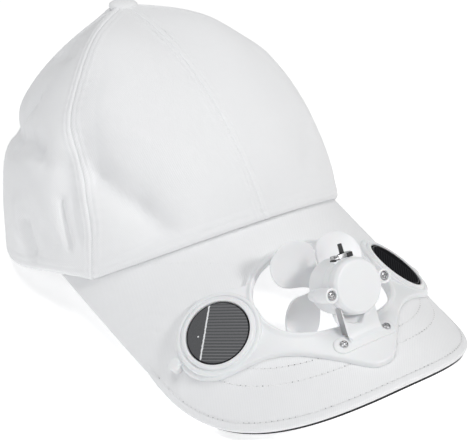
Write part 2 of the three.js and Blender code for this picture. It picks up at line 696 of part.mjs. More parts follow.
/** The rear cup of the housing, with the boss behind each ear. */
function motorShell() {
  const profile = [[0, MOTOR_REAR + SHAFT_SEAT], [shaftBore, MOTOR_REAR + SHAFT_SEAT], [shaftBore, MOTOR_REAR]];
  for (let k = 0; k <= 3; k++) {
    const turn = (k / 3) * 90 * DEG;
    profile.push([
      MOTOR_RADIUS - MOTOR_REAR_ROUND * (1 - Math.sin(turn)),
      MOTOR_REAR + MOTOR_REAR_ROUND * (1 - Math.cos(turn)),
    ]);
  }
  profile.push([MOTOR_RADIUS, MOTOR_SPLIT], [0, MOTOR_SPLIT]);
  const from = MOTOR_SPLIT - EAR_TAIL_LENGTH;
  const bosses = [-1, 1].map((side) => (
    rod(side * EAR_OFFSET, 0, from, MOTOR_SPLIT, EAR_TAIL_RADIUS, EAR_RADIUS, 16)));
  return join(turned(profile), ...bosses);
}

const capRear = MOTOR_SPLIT + GAP;
const switchMiddle = MOTOR_FRONT - SWITCH_SETBACK - SWITCH_WIDTH / 2;

/** The front cap of the housing, with its ears and the switch's seat. */
function motorCap() {
  const collar = capRear + COLLAR_LENGTH;
  const cap = turned([
    [0, capRear], [MOTOR_RADIUS, capRear], [MOTOR_RADIUS, collar], [MOTOR_RADIUS - COLLAR_GROOVE, collar],
    [MOTOR_RADIUS - COLLAR_GROOVE, collar + COLLAR_GROOVE], [MOTOR_RADIUS, collar + 2 * COLLAR_GROOVE],
    [MOTOR_RADIUS, MOTOR_FRONT - CAP_BEVEL], [MOTOR_RADIUS - CAP_BEVEL, MOTOR_FRONT], [0, MOTOR_FRONT],
  ]);
  const ears = [-1, 1].map((side) => rod(side * EAR_OFFSET, 0, capRear, EAR_FRONT, EAR_RADIUS, EAR_RADIUS, 20));
  const seat = box(
    -SWITCH_LENGTH / 2 - SWITCH_SEAT_MARGIN, SWITCH_LENGTH / 2 + SWITCH_SEAT_MARGIN, MOTOR_RADIUS / 2, SWITCH_SEAT,
    Math.max(switchMiddle - SWITCH_WIDTH, capRear), MOTOR_FRONT - SWITCH_SETBACK + SWITCH_SEAT_LIP,
  );
  let body = join(cap, ...ears, seat);
  for (const side of [-1, 1]) {
    const bore = SCREW_SHANK_RADIUS + GAP;
    const head = SCREW_HEAD_RADIUS + GAP;
    body = body
      .subtract(rod(side * EAR_OFFSET, 0, EAR_SEAT - SCREW_SHANK_LENGTH - GAP, EAR_FRONT, bore, bore, 12))
      .subtract(rod(side * EAR_OFFSET, 0, EAR_SEAT, 2 * MOTOR_FRONT, head, head, 18));
  }
  return body;
}

/** A screw along Z with its head's underside at z = 0: a cross slot is cut in the head. */
function screwSolid() {
  const head = rod(0, 0, 0, SCREW_HEAD_HEIGHT, SCREW_HEAD_RADIUS, SCREW_HEAD_RADIUS * SCREW_HEAD_TAPER, 14);
  const slot = SCREW_CROSS_HALF_WIDTH;
  const reach = SCREW_HEAD_RADIUS * SCREW_CROSS_REACH;
  const top = 2 * SCREW_HEAD_HEIGHT;
  const cross = box(-reach, reach, -slot, slot, SCREW_HEAD_HEIGHT / 2, top)
    .add(box(-slot, slot, -reach, reach, SCREW_HEAD_HEIGHT / 2, top));
  const shank = rod(0, 0, -SCREW_SHANK_LENGTH, 0, SCREW_SHANK_RADIUS, SCREW_SHANK_RADIUS, 12);
  return head.subtract(cross).add(shank);
}

/** The metal frame of the switch with the slot that the lever slides in. */
function switchBody() {
  const from = SWITCH_SEAT + GAP;
  const body = box(-SWITCH_LENGTH / 2, SWITCH_LENGTH / 2, from, from + SWITCH_HEIGHT,
    switchMiddle - SWITCH_WIDTH / 2, switchMiddle + SWITCH_WIDTH / 2);
  const slotHalf = (LEVER_WIDTH + LEVER_TRAVEL) / 2 + GAP;
  const slotDepth = LEVER_THICKNESS / 2 + GAP;
  return body.subtract(box(-slotHalf, slotHalf, from + SWITCH_HEIGHT - LEVER_SINK - GAP, from + 2 * SWITCH_HEIGHT,
    switchMiddle - slotDepth, switchMiddle + slotDepth));
}

/** The black lever, at the left end of its travel. */
function switchLever() {
  const top = SWITCH_SEAT + GAP + SWITCH_HEIGHT;
  return box(LEVER_OFFSET - LEVER_WIDTH / 2, LEVER_OFFSET + LEVER_WIDTH / 2, top - LEVER_SINK, top + LEVER_HEIGHT,
    switchMiddle - LEVER_THICKNESS / 2, switchMiddle + LEVER_THICKNESS / 2);
}

/** One paddle blade, out from the hub along a turn about the axis. */
function bladeSolid(turn) {
  const stations = 7;
  const chords = 4;
  const out = new THREE.Vector3(Math.cos(turn), Math.sin(turn), 0);
  const round = new THREE.Vector3(-Math.sin(turn), Math.cos(turn), 0);
  const root = FAN_HUB_RADIUS * BLADE_ROOT;
  const widest = FAN_RADIUS * BLADE_WIDEST;
  const chord = round.clone().multiplyScalar(Math.cos(BLADE_PITCH)).addScaledVector(UP, Math.sin(BLADE_PITCH));
  const face = round.clone().multiplyScalar(-Math.sin(BLADE_PITCH)).addScaledVector(UP, Math.cos(BLADE_PITCH));
  const layer = (offset) => Array.from({ length: stations + 1 }, (_, k) => {
    const radius = THREE.MathUtils.lerp(root, FAN_RADIUS * BLADE_REACH, 1 - (1 - k / stations) ** 1.5);
    const tip = Math.max(radius - widest, 0) / (FAN_RADIUS - widest);
    const narrowing = Math.max(Math.sqrt(1 - tip * tip), BLADE_TIP_WIDTH);
    const half = BLADE_HALF_WIDTH * narrowing * THREE.MathUtils.lerp(BLADE_ROOT_WIDTH, 1, ease(radius, root, widest));
    return Array.from({ length: chords + 1 }, (__, c) => {
      const across = half * ((2 * c) / chords - 1);
      const reach = Math.sqrt(radius ** 2 - BLADE_BEND * (across * Math.cos(BLADE_PITCH)) ** 2);
      return out.clone().multiplyScalar(reach).addScaledVector(chord, across).addScaledVector(face, offset);
    });
  });
  return solid(wallBetween(layer(BLADE_THICKNESS / 2), layer(-BLADE_THICKNESS / 2)).translate(0, 0, -BLADE_SETBACK));
}

/** The fan: hub and blades in one moulding, with a blind bore for the shaft. */
function fanSolid() {
  const half = FAN_HUB_LENGTH / 2;
  const hub = turned([
    [0, -half], [FAN_HUB_RADIUS - FAN_HUB_ROUND, -half], [FAN_HUB_RADIUS, -half + FAN_HUB_ROUND],
    [FAN_HUB_RADIUS, half], [0, half],
  ], 28);
  const blades = Array.from({ length: BLADES }, (_, k) => bladeSolid(FIRST_BLADE + (k * 360 * DEG) / BLADES));
  return join(hub, ...blades).subtract(rod(0, 0, -half / 2, 2 * half, shaftBore, shaftBore, 16));
}

/** The steel shaft between the hub and the motor. */
function shaftSolid() {
  return rod(0, 0, -FAN_HUB_LENGTH / 4 + GAP, MOTOR_REAR + SHAFT_SEAT - GAP, SHAFT_RADIUS, SHAFT_RADIUS, 14);
}

const motorPlace = new THREE.Matrix4()
  .makeRotationX(90 * DEG - AXIS_RISE - PEAK_PITCH)
  .setPosition(0, -HOLE_STATION, HUB_HEIGHT);

/** The bracket: a foot on the frame's nose and a pedestal that the motor lies in. */
function bracketSolid() {
  const low = FRAME_PLATE + GAP;
  const row = -CELL_STATION;
  const rear = row - FOOT_REACH + FOOT_LENGTH / 2;
  const width = FOOT_HALF_WIDTH + FOOT_EAR_RADIUS;
  const outline = roundedRectangle(-width, width, rear - FOOT_LENGTH, rear, FOOT_EAR_RADIUS);
  const foot = prism(outline, -HOLE_PRISM_DEPTH, HOLE_PRISM_DEPTH, 6)
    .intersect(peakCylinder(low + FOOT_THICKNESS));
  const front = rear - PEDESTAL_LENGTH;
  const height = MOTOR_RADIUS;
  const profile = new THREE.Shape([
    new THREE.Vector2(front, -height), new THREE.Vector2(rear, -height),
    new THREE.Vector2(rear, low + FOOT_THICKNESS),
    new THREE.Vector2(rear + PEDESTAL_LEAN, height * PEDESTAL_SHOULDER),
    new THREE.Vector2(front + PEDESTAL_LEAN, height),
  ]);
  const wide = new THREE.ExtrudeGeometry(profile, { depth: 2 * PEDESTAL_HALF_WIDTH, bevelEnabled: false });
  wide.translate(0, 0, -PEDESTAL_HALF_WIDTH);
  // The profile's first axis becomes Y, its second Z, and the extrusion runs along X
  wide.applyMatrix4(new THREE.Matrix4().makeBasis(
    new THREE.Vector3(0, 1, 0), new THREE.Vector3(0, 0, 1), new THREE.Vector3(1, 0, 0)));
  const slot = box(-SLOT_HALF_WIDTH, SLOT_HALF_WIDTH, front - SLOT_DEPTH, front + SLOT_DEPTH,
    low + FOOT_THICKNESS + SLOT_FLOOR, height);
  const motor = placed(
    rod(0, 0, -MOTOR_FRONT, 2 * MOTOR_FRONT, MOTOR_RADIUS + GAP, MOTOR_RADIUS + GAP, 48), motorPlace);
  let bracket = foot.add(solid(wide).subtract(slot).subtract(motor)).subtract(peakCylinder(low));
  for (const side of [-1, 1]) {
    const bore = rod(0, 0, -FOOT_THICKNESS, 2 * FOOT_THICKNESS, shaftBore, shaftBore, 12);
    bracket = bracket.subtract(placed(bore, footScrewPlace(side)));
  }
  return bracket;
}

/** Where a foot screw's head sits on the foot. */
function footScrewPlace(side) {
  return stand(side * FOOT_HALF_WIDTH, CELL_STATION + FOOT_REACH, FRAME_PLATE + GAP);
}

// Assembly

const crown = new THREE.Group();
const PANELS = [
  ['front', frontSeam, sideSeam],
  ['side', sideSeam, backSideSeam],
  ['back', backSideSeam, backSeam],
];
for (const [where, fromSeam, toSeam] of PANELS) {
  for (const [name, side] of [['right', -1], ['left', 1]]) {
    crown.add(piece(`crown_panel_${where}_${name}`, crownPanel(side, fromSeam, toSeam), CLOTH_FINISH));
  }
}
const button = piece('crown_button', buttonSolid(), CLOTH_FINISH);
button.position.set(0, CROWN_LEAN, CROWN_HEIGHT);
crown.add(button);

const peak = new THREE.Group();
peak.position.copy(seam);
peak.rotation.x = PEAK_PITCH;
peak.add(piece('peak', peakSolid(), CLOTH_FINISH));
peak.add(piece('peak_trim', trimGeometry(), TRIM_FINISH));
peak.add(piece('fan_frame', frameSolid(), PLASTIC_FINISH));
peak.add(piece('motor_bracket', bracketSolid(), PLASTIC_FINISH));
for (const [name, side] of [['right', -1], ['left', 1]]) {
  peak.add(piece(`solar_cell_${name}`, cellSolid(side), CELL_FINISH));
  const screw = piece(`bracket_screw_${name}`, screwSolid(), STEEL_FINISH);
  screw.applyMatrix4(footScrewPlace(side));
  screw.translateZ(FOOT_THICKNESS + GAP);
  peak.add(screw);
}

const motor = new THREE.Group();
motor.applyMatrix4(motorPlace);
motor.add(piece('motor_shell', motorShell(), PLASTIC_FINISH));
motor.add(piece('motor_cap', motorCap(), PLASTIC_FINISH));
motor.add(piece('switch_body', switchBody(), STEEL_FINISH));
motor.add(piece('switch_lever', switchLever(), BLACK_FINISH));
motor.add(piece('fan', fanSolid(), PLASTIC_FINISH));
motor.add(piece('motor_shaft', shaftSolid(), STEEL_FINISH));
for (const [name, side] of [['right', -1], ['left', 1]]) {
  const screw = piece(`motor_screw_${name}`, screwSolid(), STEEL_FINISH);
  screw.position.set(side * EAR_OFFSET, 0, EAR_SEAT + GAP);
  motor.add(screw);
}
peak.add(motor);

// The origin lies under the middle of the hat, between the peak's tip and the back of the rim
const hat = new THREE.Group();
hat.add(crown, peak);
const tip = onPeak(0, PEAK_LENGTH, 0).applyAxisAngle(new THREE.Vector3(1, 0, 0), PEAK_PITCH).add(seam);
hat.position.y = -(tip.y + RIM_HALF_LENGTH) / 2;

export default hat;
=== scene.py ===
"""Fan sun hat: a soft white six panel cap whose peak carries a solar driven fan in a moulded frame.

Every shape is worked out in millimetres in the hat's own frame (+Z up, the peak towards -Y) and is
written into its mesh in metres. The hat's cloth, moulding and metal each have a finish of their own.
"""

import logging
import math
from collections.abc import Callable
from dataclasses import dataclass, field
from enum import Enum

import bmesh
import bpy
import numpy as np
from mathutils import Matrix, Vector


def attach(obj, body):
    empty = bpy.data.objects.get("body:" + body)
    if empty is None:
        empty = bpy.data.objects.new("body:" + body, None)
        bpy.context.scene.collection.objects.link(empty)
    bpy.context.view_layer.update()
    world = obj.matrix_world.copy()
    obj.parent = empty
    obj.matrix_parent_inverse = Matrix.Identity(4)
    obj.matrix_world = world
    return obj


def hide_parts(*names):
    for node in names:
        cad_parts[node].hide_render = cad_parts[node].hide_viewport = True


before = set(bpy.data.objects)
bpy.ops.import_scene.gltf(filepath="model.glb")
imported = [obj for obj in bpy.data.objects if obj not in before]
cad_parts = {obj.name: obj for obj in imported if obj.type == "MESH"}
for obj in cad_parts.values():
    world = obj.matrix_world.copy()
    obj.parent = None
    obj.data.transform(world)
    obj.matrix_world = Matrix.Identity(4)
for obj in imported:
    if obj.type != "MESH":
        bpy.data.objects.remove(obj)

log = logging.getLogger("fan_sun_hat")

MM = 0.001
FINE = 1e-4
# Height of the frame's plate over the cloth, in millimetres
FRAME_TOP = 2.6


def ease(x: np.ndarray | float, a: float, b: float) -> np.ndarray:
    """Blends smoothly from 0 to 1 while x goes from a to b."""
    share = np.clip((np.asarray(x, float) - a) / (b - a), 0, 1)
    return share * share * (3 - 2 * share)


def plateau(x: np.ndarray | float, rise: tuple, fall: tuple) -> np.ndarray:
    """1 between two stretches, coming up from 0 over the first and going down again over the second."""
    return ease(x, *rise) * (1 - ease(x, *fall))


def bump(x: np.ndarray | float, middle: float, width: float) -> np.ndarray:
    """A smooth hill of height 1 at the middle, falling to 1/e at the width."""
    return np.exp(-(((np.asarray(x, float) - middle) / width) ** 2))


def unit(vectors: np.ndarray) -> np.ndarray:
    """Vectors of length 1 in the same directions."""
    return vectors / np.maximum(np.linalg.norm(vectors, axis=-1, keepdims=True), 1e-9)


def distances(line: np.ndarray) -> np.ndarray:
    """How far along a line each of its points lies."""
    return np.concatenate([[0], np.cumsum(np.linalg.norm(np.diff(line, axis=0), axis=1))])


def point_at(line: np.ndarray, run: np.ndarray, where: np.ndarray | float) -> np.ndarray:
    """The values of a line's columns at distances along it.

    Args:
        line: One row for each point.
        run: The distance of each point.
        where: The distances that are asked for.

    Returns:
        One row for each distance.
    """
    return np.stack([np.interp(where, run, column) for column in line.T], axis=-1)


def section_at(section: list | np.ndarray, share: np.ndarray) -> list[np.ndarray]:
    """The columns of a section's list of points, at shares of the way through the list."""
    table = np.asarray(section, float)
    return list(point_at(table, np.arange(len(table)), share * (len(table) - 1)).T)


class Side(Enum):
    """The wearer's right and left, with the sign of X on each."""

    RIGHT = -1
    LEFT = 1

    @property
    def word(self) -> str:
        """The side's name in the names of pieces."""
        return self.name.lower()


class Seam(Enum):
    """The crown's seams from the front to the back, by their degrees from the front at the rim."""

    FRONT = 0.0
    SIDE = 54.5
    BACK_SIDE = 120.0
    BACK = 180.0


class Panel(Enum):
    """The three panels on each side of the crown."""

    FRONT = "front"
    SIDE = "side"
    BACK = "back"

    @property
    def place(self) -> int:
        """The panel's place, counted from the front."""
        return list(Panel).index(self)

    @property
    def seams(self) -> tuple[Seam, Seam]:
        """The seams at its front and at its back."""
        return tuple(list(Seam)[self.place:self.place + 2])


# Shader building


class Signal:
    """A value in a material's node tree that takes part in sums, products and comparisons."""

    def __init__(self, tree: bpy.types.NodeTree, socket: bpy.types.NodeSocket) -> None:
        """Wraps one output socket of the tree."""
        self.tree = tree
        self.socket = socket

    def math(self, operation: str, *others: "Signal | float", flipped: bool = False) -> "Signal":
        """Adds one Math node.

        Args:
            operation: The node's operation.
            others: The further operands.
            flipped: True if this value is the second operand.

        Returns:
            The node's result.
        """
        node = self.tree.nodes.new("ShaderNodeMath")
        node.operation = operation
        operands = [*others, self] if flipped else [self, *others]
        for place, operand in zip(node.inputs, operands):
            if isinstance(operand, Signal):
                self.tree.links.new(operand.socket, place)
            else:
                place.default_value = operand
        return Signal(self.tree, node.outputs[0])

    def __add__(self, other: "Signal | float") -> "Signal":
        """Sum."""
        return self.math("ADD", other)

    __radd__ = __add__

    def __sub__(self, other: "Signal | float") -> "Signal":
        """Difference."""
        return self.math("SUBTRACT", other)

    def __rsub__(self, other: float) -> "Signal":
        """Difference with this value taken away."""
        return self.math("SUBTRACT", other, flipped=True)

    def __mul__(self, other: "Signal | float") -> "Signal":
        """Product."""
        return self.math("MULTIPLY", other)

    __rmul__ = __mul__

    def __truediv__(self, other: "Signal | float") -> "Signal":
        """Quotient."""
        return self.math("DIVIDE", other)

    def __rtruediv__(self, other: float) -> "Signal":
        """Quotient with this value below."""
        return self.math("DIVIDE", other, flipped=True)

    def __lt__(self, other: "Signal | float") -> "Signal":
        """1 where this value is the smaller."""
        return self.math("LESS_THAN", other)

    def __gt__(self, other: "Signal | float") -> "Signal":
        """1 where this value is the larger."""
        return self.math("GREATER_THAN", other)

    def __abs__(self) -> "Signal":
        """Size without sign."""
        return self.math("ABSOLUTE")

    def wave(self, period: float) -> "Signal":
        """A wave between 0 and 1 along this value, with the given period."""
        return (self * (2 * math.pi / period)).math("SINE") * 0.5 + 0.5

    def cycle(self, period: float) -> "Signal":
        """The share of the period that this value has gone through."""
        return (self / period).math("FRACT")


class Recipe:
    """A material under construction around one Principled shader."""

    def __init__(self, name: str) -> None:
        """Starts an empty material with its output and shader.

        Args:
            name: The material's name.
        """
        self.material = bpy.data.materials.new(name)
        self.material.use_nodes = True
        self.tree = self.material.node_tree
        self.tree.nodes.clear()
        output = self.tree.nodes.new("ShaderNodeOutputMaterial")
        self.shader = self.tree.nodes.new("ShaderNodeBsdfPrincipled")
        self.tree.links.new(self.shader.outputs[0], output.inputs[0])

    def add(self, kind: str, settings: dict | None = None, sockets: dict | None = None,
            result: str | int = 0) -> Signal:
        """Adds one node.

        Args:
            kind: The node's type, without its common start.
            settings: Its settings, set before anything is linked.
            sockets: Values or signals for its sockets, by name or number.
            result: The output that is handed back.

        Returns:
            That output.
        """
        node = self.tree.nodes.new("ShaderNode" + kind)
        for name, value in (settings or {}).items():
            setattr(node, name, value)
        for name, value in (sockets or {}).items():
            self.feed(node.inputs[name], value)
        return Signal(self.tree, node.outputs[result])

    def feed(self, socket: bpy.types.NodeSocket, value: object) -> None:
        """Links a signal to a socket, or sets the socket's own value.

        Args:
            socket: The socket.
            value: The signal or the value.
        """
        if isinstance(value, Signal):
            self.tree.links.new(value.socket, socket)
        else:
            socket.default_value = value

    def base(self, **sockets: object) -> None:
        """Sets or links the shader's own sockets, with underscores for the spaces in their names."""
        for name, value in sockets.items():
            self.feed(self.shader.inputs[name.replace("_", " ")], value)

    def place(self, source: str = "Object") -> tuple[Signal, Signal, Signal, Signal]:
        """The surface coordinates.

        Args:
            source: Object for metres in the hat's frame, or UV for the piece's own map.

        Returns:
            The coordinate vector and its three parts.
        """
        if source == "UV":
            vector = self.add("UVMap", {"uv_map": "weave"})
        else:
            vector = self.add("TexCoord", None, None, source)
        parts = [self.add("SeparateXYZ", None, {0: vector}, k) for k in range(3)]
        return vector, *parts

    def noise(self, vector: Signal, scale: float, detail: float = 2.0) -> Signal:
        """A soft noise between 0 and 1."""
        return self.add("TexNoise", None, {"Vector": vector, "Scale": scale, "Detail": detail})

    def blend(self, factor: Signal | float, low: Signal | tuple, high: tuple) -> Signal:
        """A colour between two others."""
        start = low if isinstance(low, Signal) else (*low, 1)
        return self.add("Mix", {"data_type": "RGBA"}, {0: factor, 6: start, 7: (*high, 1)}, 2)

    def relief(self, height: Signal, strength: float, depth: float) -> Signal:
        """A normal tilted by a height that is given in shares of the depth in metres."""
        return self.add("Bump", None, {"Strength": strength, "Distance": depth, "Height": height})


@dataclass(frozen=True)
class TwillCloth:
    """White cotton twill: fine slanting ribs over a finer cross yarn, a little uneven."""

    name: str = "white_twill"
    light: tuple = (0.90, 0.905, 0.915)
    shade: tuple = (0.745, 0.75, 0.765)
    rib: float = 0.0011
    rib_slant: float = 0.9
    yarn: float = 0.0005
    yarn_slant: float = 1.15
    fine_mottle: float = 260.0
    broad_mottle: float = 22.0
    rib_depth: float = 0.00016

    def dress(self) -> bpy.types.Material:
        """Builds the material from the piece's own weave map.

        Returns:
            The material.
        """
        recipe = Recipe(self.name)
        vector, across, along, _ = recipe.place("UV")
        ribs = (across + along * self.rib_slant).wave(self.rib)
        yarns = (across - along * self.yarn_slant).wave(self.yarn)
        uneven = recipe.noise(vector, self.fine_mottle, 3.0)
        cloudy = recipe.noise(vector, self.broad_mottle, 2.0)
        height = ribs * 0.62 + yarns * 0.26 + uneven * 0.24
        # The colour is darker where the weave lies low: painted shade in the grooves between ribs and yarns,
        # plus a random cloudy mottle.
        depth = (1 - height) * 0.42 + cloudy * 0.22
        recipe.base(
            Base_Color=recipe.blend(depth, self.light, self.shade),
            Roughness=0.86 + uneven * 0.1,
            Sheen_Weight=0.25,
            Sheen_Roughness=0.45,
            Specular_IOR_Level=0.22,
            Normal=recipe.relief(height, 0.5, self.rib_depth),
        )
        return recipe.material


@dataclass(frozen=True)
class SewingThread:
    """Twisted white thread."""

    name: str = "white_thread"
    light: tuple = (0.93, 0.93, 0.935)
    shade: tuple = (0.74, 0.74, 0.75)
    twist: float = 0.0004
    fuzz_scale: float = 1800.0
    ply_depth: float = 0.00008

    def dress(self) -> bpy.types.Material:
        """Builds the material: slanting plies along the thread.

        Returns:
            The material.
        """
        recipe = Recipe(self.name)
        vector, x, y, z = recipe.place()
        plies = (x + y + z * 1.3).wave(self.twist)
        fuzz = recipe.noise(vector, self.fuzz_scale)
        recipe.base(
            Base_Color=recipe.blend(plies * 0.4 + fuzz * 0.25, self.light, self.shade),
            Roughness=0.72 + fuzz * 0.15,
            Sheen_Weight=0.2,
            Normal=recipe.relief(plies, 0.4, self.ply_depth),
        )
        return recipe.material


@dataclass(frozen=True)
class NeedleHoleShade:
    """The shadow in a needle's hole."""

    name: str = "needle_hole"
    deep: tuple = (0.16, 0.16, 0.17)
    pale: tuple = (0.92, 0.92, 0.93)
    change: float = 130.0
    contrast: float = 3.4
    open_share: float = 1.2

    def dress(self) -> bpy.types.Material:
        """Builds the material: painted hole shade, dark where a hole is open, pale where it is nearly
        closed.

        Returns:
            The material.
        """
        recipe = Recipe(self.name)
        vector, *_ = recipe.place()
        spread = recipe.noise(vector, self.change, 1.0) * self.contrast - self.open_share
        shut = spread.math("MAXIMUM", 0.0).math("MINIMUM", 1.0)
        recipe.base(Base_Color=recipe.blend(shut, self.deep, self.pale), Roughness=0.95,
                    Specular_IOR_Level=0.0)
        return recipe.material


@dataclass(frozen=True)
class EdgeTape:
    """Black ribbed tape under the peak's edge."""

    name: str = "black_tape"
    light: tuple = (0.022, 0.022, 0.024)
    shade: tuple = (0.006, 0.006, 0.007)
    rib: float = 0.0007
    rib_depth: float = 0.00015
    fuzz_scale: float = 900.0

    def dress(self) -> bpy.types.Material:
        """Builds the material with ribs across the tape.

        Returns:
            The material.
        """
        recipe = Recipe(self.name)
        vector, along, across, _ = recipe.place("UV")
        # The ribs also set the colour: paler on the raised ribs and darker between them, painted shade in
        # the grooves, with random fuzz.
        ribs = along.wave(self.rib) * 0.7 + across.wave(self.rib) * 0.3
        fuzz = recipe.noise(vector, self.fuzz_scale)
        recipe.base(
            Base_Color=recipe.blend(ribs * 0.7 + fuzz * 0.3, self.shade, self.light),
            Roughness=0.8 + fuzz * 0.12,
            Sheen_Weight=0.15,
            Normal=recipe.relief(ribs, 0.5, self.rib_depth),
        )
        return recipe.material


@dataclass(frozen=True)
class Moulding:
    """Satin white moulded plastic with a barely uneven skin."""

    name: str = "white_moulding"
    light: tuple = (0.86, 0.868, 0.878)
    shade: tuple = (0.79, 0.80, 0.815)
    roughness: float = 0.34
    flow_scale: float = 38.0
    peel_scale: float = 1100.0
    peel_depth: float = 0.00006

    def dress(self) -> bpy.types.Material:
        """Builds the material: flow marks in the colour and a fine orange peel.

        Returns:
            The material.
        """
        recipe = Recipe(self.name)
        vector, *_ = recipe.place()
        flow = recipe.noise(vector, self.flow_scale, 3.0)
        peel = recipe.noise(vector, self.peel_scale, 2.0)
        recipe.base(
            Base_Color=recipe.blend(flow * 0.7 + peel * 0.12, self.light, self.shade),
            Roughness=self.roughness + flow * 0.08 + peel * 0.06,
            Subsurface_Weight=0.06,
            Subsurface_Scale=0.001,
            Specular_IOR_Level=0.5,
            Normal=recipe.relief(peel, 0.12, self.peel_depth),
        )
        return recipe.material


@dataclass(frozen=True)
class SolarCell:
    """A dark cell under clear resin: fine silver fingers on one side of a worn busbar, a dot and a ring.

    The piece's map gives millimetres from the cell's middle: away from the motor, and forward.
    """

    name: str = "solar_cell"
    # The default tones are the right cell's, lifted by a painted reflection.
    dark: tuple = (0.085, 0.086, 0.090)
    crystal: tuple = (0.125, 0.127, 0.132)
    silver: tuple = (0.200, 0.203, 0.210)
    busbar: tuple = (0.80, 0.81, 0.82)
    # The edge ring's tone: on this default, the right cell's, a painted shadow of the seat's wall.
    edge: tuple = (0.022, 0.022, 0.024)
    edge_radius: float = 15.25
    edge_half_width: float = 0.35
    finger_pitch: float = 1.5
    finger_share: float = 0.26
    finger_depth: float = 0.00004
    busbar_offset: float = 6.4
    busbar_half_width: float = 0.45
    busbar_turn: float = math.radians(-43)
    dot_place: tuple = (9.4, 2.0)
    dot_radius: float = 0.4

    def dress(self) -> bpy.types.Material:
        """Builds the material from the cell's own map.

        Returns:
            The material.
        """
        recipe = Recipe(self.name)
        vector, outward, forward, _ = recipe.place("UV")
        cos, sin = math.cos(self.busbar_turn), math.sin(self.busbar_turn)
        across = outward * cos + forward * sin
        along = forward * cos - outward * sin
        offset = across - self.busbar_offset
        fingers = (along.cycle(self.finger_pitch) < self.finger_share) * (offset < 0.0)
        dot_across, dot_along = across - self.dot_place[0], along - self.dot_place[1]
        dot = dot_across * dot_across + dot_along * dot_along < self.dot_radius ** 2
        worn = recipe.noise(vector, 0.9, 2.0) * self.busbar_half_width * 1.7
        bar = (abs(offset) < worn).math("MAXIMUM", dot)
        grain = recipe.noise(vector, 1.3, 2.0)
        base = recipe.blend(grain, self.dark, self.crystal)
        lined = recipe.blend(fingers, base, self.silver)
        barred = recipe.blend(bar, lined, self.busbar)
        # A thin ring near the edge: on the right cell a dark painted shadow of the seat's wall, on the left
        # cell a paler line.
        radius = (outward * outward + forward * forward).math("SQRT")
        ring = abs(radius - self.edge_radius) < self.edge_half_width
        edged = recipe.blend(ring, barred, self.edge)
        scratches = recipe.noise(vector, 6.0, 4.0)
        recipe.base(
            Base_Color=edged,
            Roughness=0.44 + scratches * 0.12,
            Specular_IOR_Level=0.0,
            Normal=recipe.relief(fingers, 0.2, self.finger_depth),
        )
        return recipe.material


@dataclass(frozen=True)
class PlatedSteel:
    """Bright plated steel with faint brushing."""

    name: str = "plated_steel"
    light: tuple = (0.66, 0.66, 0.67)
    shade: tuple = (0.42, 0.42, 0.43)
    brush_scale: float = 1500.0
    brush_depth: float = 0.00004

    def dress(self) -> bpy.types.Material:
        """Builds the material: the brushing varies its tone and its gloss.

        Returns:
            The material.
        """
        recipe = Recipe(self.name)
        vector, *_ = recipe.place()
        brushed = recipe.noise(vector, self.brush_scale, 3.0)
        recipe.base(
            Base_Color=recipe.blend(brushed, self.light, self.shade),
            Metallic=1.0,
            Roughness=0.26 + brushed * 0.16,
            Normal=recipe.relief(brushed, 0.15, self.brush_depth),
        )
        return recipe.material


@dataclass(frozen=True)
class BlackPlastic:
    """Matt black plastic, greyer where it is rubbed."""

    name: str = "black_plastic"
    dark: tuple = (0.010, 0.010, 0.011)
    rubbed: tuple = (0.035, 0.035, 0.037)
    grain_scale: float = 1400.0
    grain_depth: float = 0.00005

    def dress(self) -> bpy.types.Material:
        """Builds the material: a fine grain in the tone, the gloss and the relief.

        Returns:
            The material.
        """
        recipe = Recipe(self.name)
        vector, *_ = recipe.place()
        grain = recipe.noise(vector, self.grain_scale, 2.0)
        recipe.base(
            Base_Color=recipe.blend(grain, self.dark, self.rubbed),
            Roughness=0.45 + grain * 0.15,
            Normal=recipe.relief(grain, 0.2, self.grain_depth),
        )
        return recipe.material


@dataclass(frozen=True)
class PaleFloor:
    """The plain pale surface under the hat."""

    name: str = "pale_floor"
    light: tuple = (0.93, 0.93, 0.93)
    shade: tuple = (0.90, 0.90, 0.90)
    glow: float = 0.45

    def dress(self) -> bpy.types.Material:
        """Builds the material, with a glow of its own that keeps shadows on it pale.

        Returns:
            The material.
        """
        recipe = Recipe(self.name)
        vector, *_ = recipe.place()
        mottle = recipe.noise(vector, 3.0)
        recipe.base(Base_Color=recipe.blend(mottle, self.light, self.shade), Roughness=0.9,
                    Emission_Color=(1, 1, 1, 1), Emission_Strength=self.glow)
        return recipe.material


class Finishes:
    """The hat's finishes, each made once."""

    def __init__(self) -> None:
        """Builds every material."""
        self.cloth = TwillCloth().dress()
        self.thread = SewingThread().dress()
        self.shadow = NeedleHoleShade().dress()
        self.tape = EdgeTape().dress()
        self.moulding = Moulding().dress()
        # One kind of cell in two copies: the right one's paler tones are a painted reflection, the left
        # one's near black tones are painted shade.
        self.cells = {
            Side.RIGHT: SolarCell("solar_cell_hazy").dress(),
            Side.LEFT: SolarCell("solar_cell_clear", dark=(0.008, 0.008, 0.009),
                                 crystal=(0.015, 0.015, 0.017), silver=(0.030, 0.031, 0.034),
                                 busbar=(0.028, 0.028, 0.030), edge=(0.13, 0.13, 0.135),
                                 edge_radius=14.3, edge_half_width=0.22).dress(),
        }
        self.steel = PlatedSteel().dress()
        self.black = BlackPlastic().dress()


# Mesh building


def grid(columns: int, rows: int) -> tuple[bmesh.types.BMesh, np.ndarray, np.ndarray]:
    """A flat grid to be shaped.

    Args:
        columns: Faces along u.
        rows: Faces along v.

    Returns:
        The mesh, and u and v from 0 to 1 at each of its points.
    """
    bm = bmesh.new()
    bmesh.ops.create_grid(bm, x_segments=columns, y_segments=rows, size=0.5)
    flat = np.array([vert.co for vert in bm.verts])
    return bm, flat[:, 0] + 0.5, flat[:, 1] + 0.5


